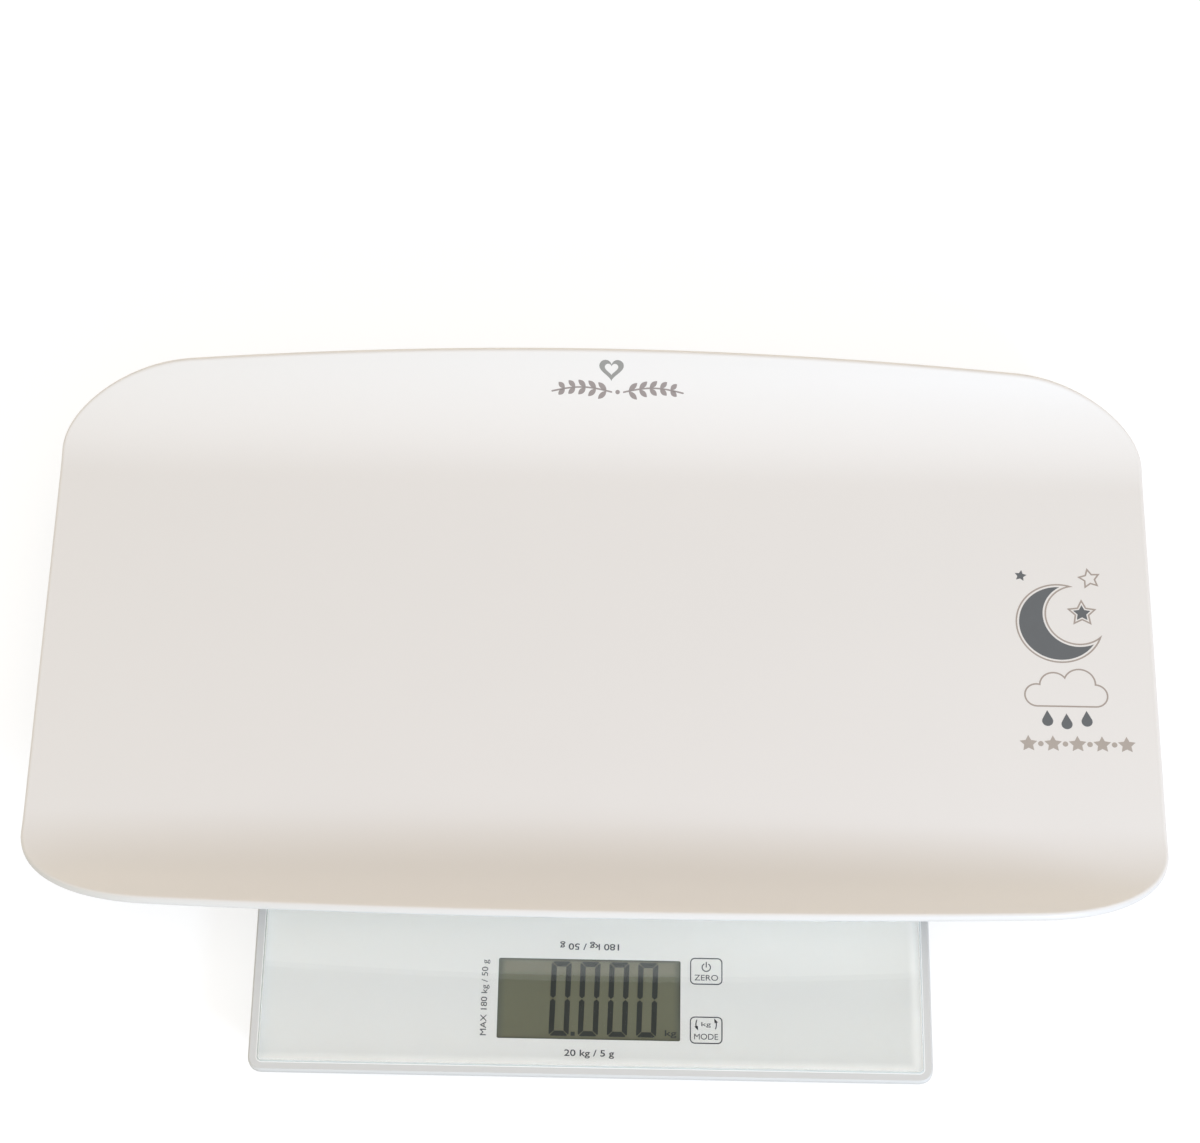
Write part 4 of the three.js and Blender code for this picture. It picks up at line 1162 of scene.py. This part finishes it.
def merged_faces():
    """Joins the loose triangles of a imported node."""
    n, geometry, result = geometry_nodes("merged_faces")
    bare = n.add("GeometryNodeRemoveAttribute", {"Geometry": geometry, "Name": "custom_normal"})
    merge = {"Geometry": bare.outputs[0], "Distance": LOOSE_DISTANCE * MM}
    n.put(result, n.add("GeometryNodeMergeByDistance", merge).outputs[0])
    return n.tree


def shaded_by_angle():
    """Shades a node smooth over shallow angles."""
    n, geometry, result = geometry_nodes("shaded_by_angle")
    angle = n.add("GeometryNodeInputMeshEdgeAngle").outputs["Unsigned Angle"]
    shallow = n.add("FunctionNodeCompare", {0: angle, 1: radians(SHADE_ANGLE)}, operation="LESS_THAN")
    faces = n.add("GeometryNodeSetShadeSmooth", {"Geometry": geometry}, domain="FACE")
    smoothed = {"Geometry": faces.outputs[0], "Shade Smooth": shallow.outputs[0]}
    n.put(result, n.add("GeometryNodeSetShadeSmooth", smoothed, domain="EDGE").outputs[0])
    return n.tree


merging = merged_faces()
shading = shaded_by_angle()


def dress(name, material, edge=0.0):
    """Gives a CAD node its finish, smooth round faces and softened edges."""
    node = frame["nodes"][name]
    node.data.materials.clear()
    node.data.materials.append(material)
    modify(node, "NODES", node_group=merging)
    modify(node, "DECIMATE", decimate_type="DISSOLVE", angle_limit=radians(FLAT_ANGLE))
    if edge:
        modify(node, "BEVEL", width=edge * MM, segments=EDGE_STEPS, limit_method="ANGLE",
               angle_limit=radians(EDGE_ANGLE))
    modify(node, "NODES", node_group=shading)
    modify(node, "WEIGHTED_NORMAL", keep_sharp=True)


SMUDGE_SIZE = 30
SMUDGE_RANGE = (0.45, 0.75)
SMUDGE_ROUGHNESS = 0.035
GROUND_EDGE_SHARE = 0.9
GROUND_TILT = (0.9, 0.6)


def glass_material():
    """Clear glass with pale ground edges, which shadow rays pass."""
    s = Shader("clear_glass")
    s.tree.nodes.remove(s.surface)
    smudge = s.ramp(s.noise(SMUDGE_SIZE), *SMUDGE_RANGE, end=SMUDGE_ROUGHNESS)
    glass = s.layer("BsdfGlass", {"Color": (0.998, 1.0, 0.999, 1), "IOR": 1.5, "Roughness": smudge})
    ground = s.layer("BsdfDiffuse", {"Color": linear(192, 198, 195)})
    clear = s.layer("BsdfTransparent", {"Color": (0.97, 0.975, 0.972, 1)})
    upright = s.math("ABSOLUTE", s.split(s.normal)[2])
    edge = s.ramp(upright, *GROUND_TILT, end=GROUND_EDGE_SHARE)
    s.show(s.blend(s.ray("Shadow"), s.blend(edge, glass, ground), clear))
    return s.material


EDGE_LIGHT_BAND = 6.5
EDGE_LIGHT_FULL = 2
EDGE_LIGHT_SHARE = 0.85
MITRE_HIGHLIGHT_WIDTH = 0.7
UNDER_TRAY_LIGHT_START = 34
UNDER_TRAY_LIGHT_END = 74
EDGE_GLOW = 0.1


def print_material():
    """White print with painted light, paler and faintly glowing where light comes in at the glass's
    front, back and right edges.

    It is brightest on the corner mitres, a painted highlight. Painted light also makes it paler under
    the tray, and painted shade darker towards the right.
    """
    s = finish("white_print", (237, 232, 222), 0.5, mottle=0.006, mottle_size=60)
    x, y, _ = s.split(s.place)
    along_y = s.distance(y, PLATFORM_Y)
    inwards = s.math("SUBTRACT", GLASS_HALF * MM, s.math("MAXIMUM", x, along_y))
    off_mitre = s.math("ABSOLUTE", s.math("SUBTRACT", s.math("ABSOLUTE", x), along_y))
    mitre_highlight = s.math("MULTIPLY", s.fade(off_mitre, MITRE_HIGHLIGHT_WIDTH, 0), 1 - EDGE_LIGHT_SHARE)
    share = s.math("MULTIPLY", s.fade(inwards, EDGE_LIGHT_BAND, EDGE_LIGHT_FULL), s.math("ADD", mitre_highlight, EDGE_LIGHT_SHARE))
    front = PLATFORM_Y - GLASS_HALF
    # Painted shade: darker towards the right, where the lamp falls stronger.
    s.paint(s.fade(x, -GLASS_HALF, GLASS_HALF), (229, 224, 213))
    # Painted light: paler under the tray, offsetting the tray's shade and standing in for its reflection
    # in the glass.
    s.paint(s.fade(y, front + UNDER_TRAY_LIGHT_START, front + UNDER_TRAY_LIGHT_END), (251, 244, 230))
    # Painted light and a faint glow along the glass's edges, brightest on the corner mitres as a painted
    # highlight.
    s.paint(share, (252, 246, 235))
    s.set({"Emission Color": WHITE, "Emission Strength": s.math("MULTIPLY", share, EDGE_GLOW)})
    return s.material


LCD_SHADE_SIDE = 4
LCD_SHADE_END = 1.5


def lcd_material():
    """Unlit display glass: olive grey, a painted reflection along its back, painted shade at the
    window's edges.
    """
    s = finish("lcd_glass", (113, 111, 89), 0.22, mottle=0.02, mottle_size=25, grain_depth=0.0004,
               rough_spread=0.03)
    x, y, _ = s.split(s.place)
    half_x, half_y = WINDOW_WIDTH / 2, WINDOW_DEPTH / 2
    side = s.fade(s.distance(x, WINDOW_SHIFT), half_x - LCD_SHADE_SIDE, half_x)
    end = s.fade(s.distance(y, WINDOW_MIDDLE), half_y - LCD_SHADE_END, half_y)
    # Painted reflection: a paler band along the display's back edge.
    s.paint(painted_reflection_share(s), (134, 130, 110))
    # Painted shade: darker towards the window's edges.
    s.paint(s.math("MAXIMUM", side, end), (101, 102, 87))
    return s.material


BRUSH_SIZE = 3
BRUSH_STRETCH = (1, 12, 12)
BRUSH_TINTS = (0.9, 1.08)
BRUSH_ROUGH_SPREAD = 0.08
BRUSH_DEPTH = 0.004


def brushed(name, color, roughness):
    """Metal with fine lines along it."""
    s = Shader(name)
    lines = s.noise(BRUSH_SIZE, detail=4.0, stretch=BRUSH_STRETCH)
    darker, paler = [linear(*color, tint=tint) for tint in BRUSH_TINTS]
    smoothest, roughest = roughness - BRUSH_ROUGH_SPREAD, roughness + BRUSH_ROUGH_SPREAD
    s.set({
        "Base Color": s.mix(lines, darker, paler),
        "Roughness": s.ramp(lines, *NOISE_RANGE, smoothest, roughest),
        "Normal": s.bump(lines, BRUSH_DEPTH),
        "Metallic": 1.0,
    })
    return s.material


def rubber(name, color):
    return finish(name, color, 0.82, mottle=0.06, mottle_size=9, grain_size=0.5, grain_depth=0.02,
                  rough_spread=0.1, specular=0.3).material


def board_material():
    """Green solder mask with faint copper tracks under it."""
    s = finish("circuit_board", (38, 92, 60), 0.38, mottle=0.05, mottle_size=20)
    tracks = s.add("TexBrick", {"Vector": s.place, "Scale": 60.0, "Mortar Size": 0.035})
    s.paint(tracks.outputs["Fac"], (70, 128, 84))
    return s.material


BATTERY_BAND = 9
BATTERY_CAP = 1.6


def battery_material(name, direction, half_length):
    """Printed coat with a copper band at the positive end and bare metal ends."""
    s = finish(name, (40, 62, 74), 0.3, mottle=0.03, mottle_size=10, grain_depth=0.0006)
    along = s.math("MULTIPLY", s.split(s.place)[0], direction)
    band = s.math("GREATER_THAN", along, (half_length - BATTERY_BAND) * MM)
    metal = s.math("GREATER_THAN", s.math("ABSOLUTE", along), (half_length - BATTERY_CAP) * MM)
    s.paint(band, (186, 120, 74))
    s.paint(metal, (196, 197, 198))
    s.set({"Metallic": metal})
    return s.material


def dress_platform():
    foam = finish("foam_tape", (150, 150, 147), 0.9, mottle=0.08, mottle_size=3, grain_size=0.5,
                  grain_depth=0.05, specular=0.1).material
    dress("glass_plate", glass_material(), 0.3)
    dress("printed_backing", print_material())
    dress("glass_tape", foam)
    dress("base_shell", base_plastic)
    dress("battery_door", base_plastic, 0.25)


def dress_electronics():
    white = finish("white_plastic", (226, 226, 224), 0.42, mottle=0.01, mottle_size=20).material
    black = finish("black_plastic", (40, 41, 42), 0.5, mottle=0.06, mottle_size=12,
                   grain_size=0.5, grain_depth=0.006).material
    screw = brushed("screw_steel", (158, 160, 162), 0.3)
    can = brushed("capacitor_can", (176, 178, 182), 0.28)
    dress("lcd_panel", lcd_material())
    dress("lcd_frame", black, 0.2)
    dress("main_board", board_material())
    dress("control_chip", black, 0.15)
    dress("board_header", white, 0.15)
    dress("unit_button", white, 0.2)
    dress("unit_switch", black, 0.2)
    for i in (1, 2):
        dress(f"capacitor_{i}", can, 0.2)
    for i in (1, 2, 3, 4):
        dress(f"board_screw_{i}", screw)


def dress_contacts():
    gold = brushed("contact_metal", (196, 180, 140), 0.32)
    red = finish("red_lead", (164, 56, 48), 0.5, mottle=0.04, mottle_size=15).material
    for key in ("tare", "hold"):
        dress(f"touch_electrode_{key}", gold)
    for side in ("left", "right"):
        dress(f"battery_terminal_{side}", gold)
        dress(f"battery_link_{side}", gold)
        dress(f"battery_lead_{side}", red)


def dress_batteries():
    for i, direction in ((1, 1), (2, -1), (3, 1)):
        name = f"battery_{i}"
        dress(name, battery_material(f"battery_coat_{i}", direction, box_of(name)[2].x))


def dress_corners():
    steel = brushed("cell_steel", (170, 174, 178), 0.36)
    pad = rubber("pad_rubber", (214, 213, 208))
    grey = finish("grey_lead", (140, 142, 145), 0.55, mottle=0.03, mottle_size=15).material
    foot_treads(rubber("foot_rubber", (70, 71, 72)))
    for corner in CORNERS:
        dress(f"load_cell_{corner}", steel, 0.15)
        dress(f"foot_cup_{corner}", base_plastic, 0.3)
        dress(f"load_cell_lead_{corner}", grey)
        dress(f"tray_pad_{corner}", pad, 0.2)


dress_platform()
dress_electronics()
dress_contacts()
dress_batteries()
dress_corners()


# Floor, light and camera

FLOOR_HALF = 6000
FLOOR_DROP = 0.1
FLOOR_GREY = (0.36, 0.36, 0.36, 1)
FLOOR_GLOW = 0.74
FLOOR_BOUNCE = (0.55, 0.55, 0.55, 1)
WORLD_FRONT = (0.66, 0.70, 0.59, 1)
WORLD_FRONT_FADE = (-0.7, 0.7)
WORLD_ABOVE = (1.12, 1.06, 0.99, 1)
WORLD_ABOVE_FADE = (0, 0.95)
WORLD_BAND = (4.3, 3.8, 2.9, 1)
WORLD_BAND_FADE = (0.1, 0.7)
WORLD_BAND_RISE = (0, 0.2)
WORLD_BELOW = (0.13, 0.13, 0.13, 1)
WORLD_BELOW_FADE = (-0.06, -0.03)
WORLD_DARK_CENTRE = (0, 0.33, 0.944)
WORLD_DARK_INNER = 8.5
WORLD_DARK_OUTER = 17
WORLD_DARK_SHARE = 0.93
LIGHT_DISTANCE = 2.2
LIGHT_SIZE = 0.5
LIGHT_ELEVATION = 26.2
LIGHT_AZIMUTH = 35
LIGHT_STRENGTH = 0.57
LIGHT_COLOR = (0.633, 0.767, 0.996)


def floor():
    """A pale floor that hides nothing from a camera below it."""
    corners = [(x * FLOOR_HALF, y * FLOOR_HALF, -FLOOR_DROP)
               for x, y in ((-1, -1), (1, -1), (1, 1), (-1, 1))]
    mesh = mesh_from(corners, [(0, 1, 2, 3)])
    mesh.transform(Matrix.Scale(MM, 4))
    s = Shader("floor")
    s.set({"Base Color": FLOOR_GREY, "Roughness": 1.0, "Specular IOR Level": 0.0})
    seen = s.math("MAXIMUM", s.ray("Camera"), s.math("MAXIMUM", s.ray("Glossy"), s.ray("Transmission")))
    glow = s.layer("Emission", {"Color": WHITE, "Strength": FLOOR_GLOW})
    lit = s.layer("AddShader", {0: s.surface.outputs[0], 1: glow})
    plain = s.layer("BsdfDiffuse", {"Color": FLOOR_BOUNCE})
    below = s.add("NewGeometry").outputs["Backfacing"]
    s.show(s.blend(below, s.blend(seen, plain, lit), s.layer("BsdfTransparent")))
    mesh.materials.append(s.material)
    linked("floor", mesh)


def world():
    """Soft light from above, dimmer towards the front, with a warm low band behind.

    A round dark patch overhead keeps the glass clear of glare, as seen from the camera.
    """
    studio = bpy.data.worlds.new("studio")
    studio.use_nodes = True
    bpy.context.scene.world = studio
    n = Nodes(studio.node_tree)
    direction = n.add("TexCoord").outputs["Generated"]
    _, back, up = n.split(direction)

    def share(value, low, high, end=1.0):
        return n.ramp(value, low, high, end=end, shape="LINEAR")

    low_sky = n.mix(share(back, *WORLD_FRONT_FADE), WORLD_FRONT, BLACK)
    sky = n.mix(share(up, *WORLD_ABOVE_FADE), low_sky, WORLD_ABOVE)
    band = n.mix(share(back, *WORLD_BAND_FADE), BLACK, WORLD_BAND)
    band = n.mix(share(up, *WORLD_BAND_RISE), band, BLACK)
    nearness = n.add("VectorMath", {0: direction, 1: WORLD_DARK_CENTRE}, operation="DOT_PRODUCT")
    outer, inner = [cos(radians(turn)) for turn in (WORLD_DARK_OUTER, WORLD_DARK_INNER)]
    patch = share(nearness.outputs["Value"], outer, inner, WORLD_DARK_SHARE)
    lit = n.mix(patch, n.mix(1.0, sky, band, "ADD"), BLACK)
    lit = n.mix(share(up, *WORLD_BELOW_FADE), WORLD_BELOW, lit)
    n.put(n.tree.nodes["Background"].inputs["Color"], n.mix(n.ray("Camera"), lit, WHITE))


def key_light():
    """A round lamp, whose strength is the brightness of a white surface that faces it."""
    lamp = bpy.data.lights.new("key", "AREA")
    lamp.shape = "DISK"
    lamp.size = LIGHT_SIZE
    lamp.energy = LIGHT_STRENGTH * pi ** 2 * LIGHT_DISTANCE ** 2
    lamp.color = LIGHT_COLOR
    light = linked("key", lamp)
    rise, turn = radians(LIGHT_ELEVATION), radians(LIGHT_AZIMUTH)
    towards = Vector((sin(turn) * cos(rise), -cos(turn) * cos(rise), sin(rise)))
    light.location = towards * LIGHT_DISTANCE
    light.rotation_mode = "QUATERNION"
    light.rotation_quaternion = towards.to_track_quat("Z", "Y")


def camera():
    data = bpy.data.cameras.new("camera")
    data.sensor_fit = "HORIZONTAL"
    data.sensor_width = SENSOR_WIDTH
    data.lens = FOCAL_PIXELS / IMAGE_WIDTH * SENSOR_WIDTH
    data.clip_start = CLIP_START
    data.clip_end = CLIP_END
    view = linked("camera", data)
    place = Vector(CAMERA_OFFSET) + Vector((0, PLATFORM_Y, GLASS_TOP))
    view.matrix_world = (Matrix.Translation(place * MM)
                         @ Matrix.Rotation(radians(CAMERA_YAW), 4, "Z")
                         @ Matrix.Rotation(radians(90 - CAMERA_PITCH), 4, "X")
                         @ Matrix.Rotation(radians(CAMERA_ROLL), 4, "Z"))
    bpy.context.scene.camera = view


floor()
world()
key_light()
camera()
bpy.context.scene.view_settings.view_transform = "Standard"
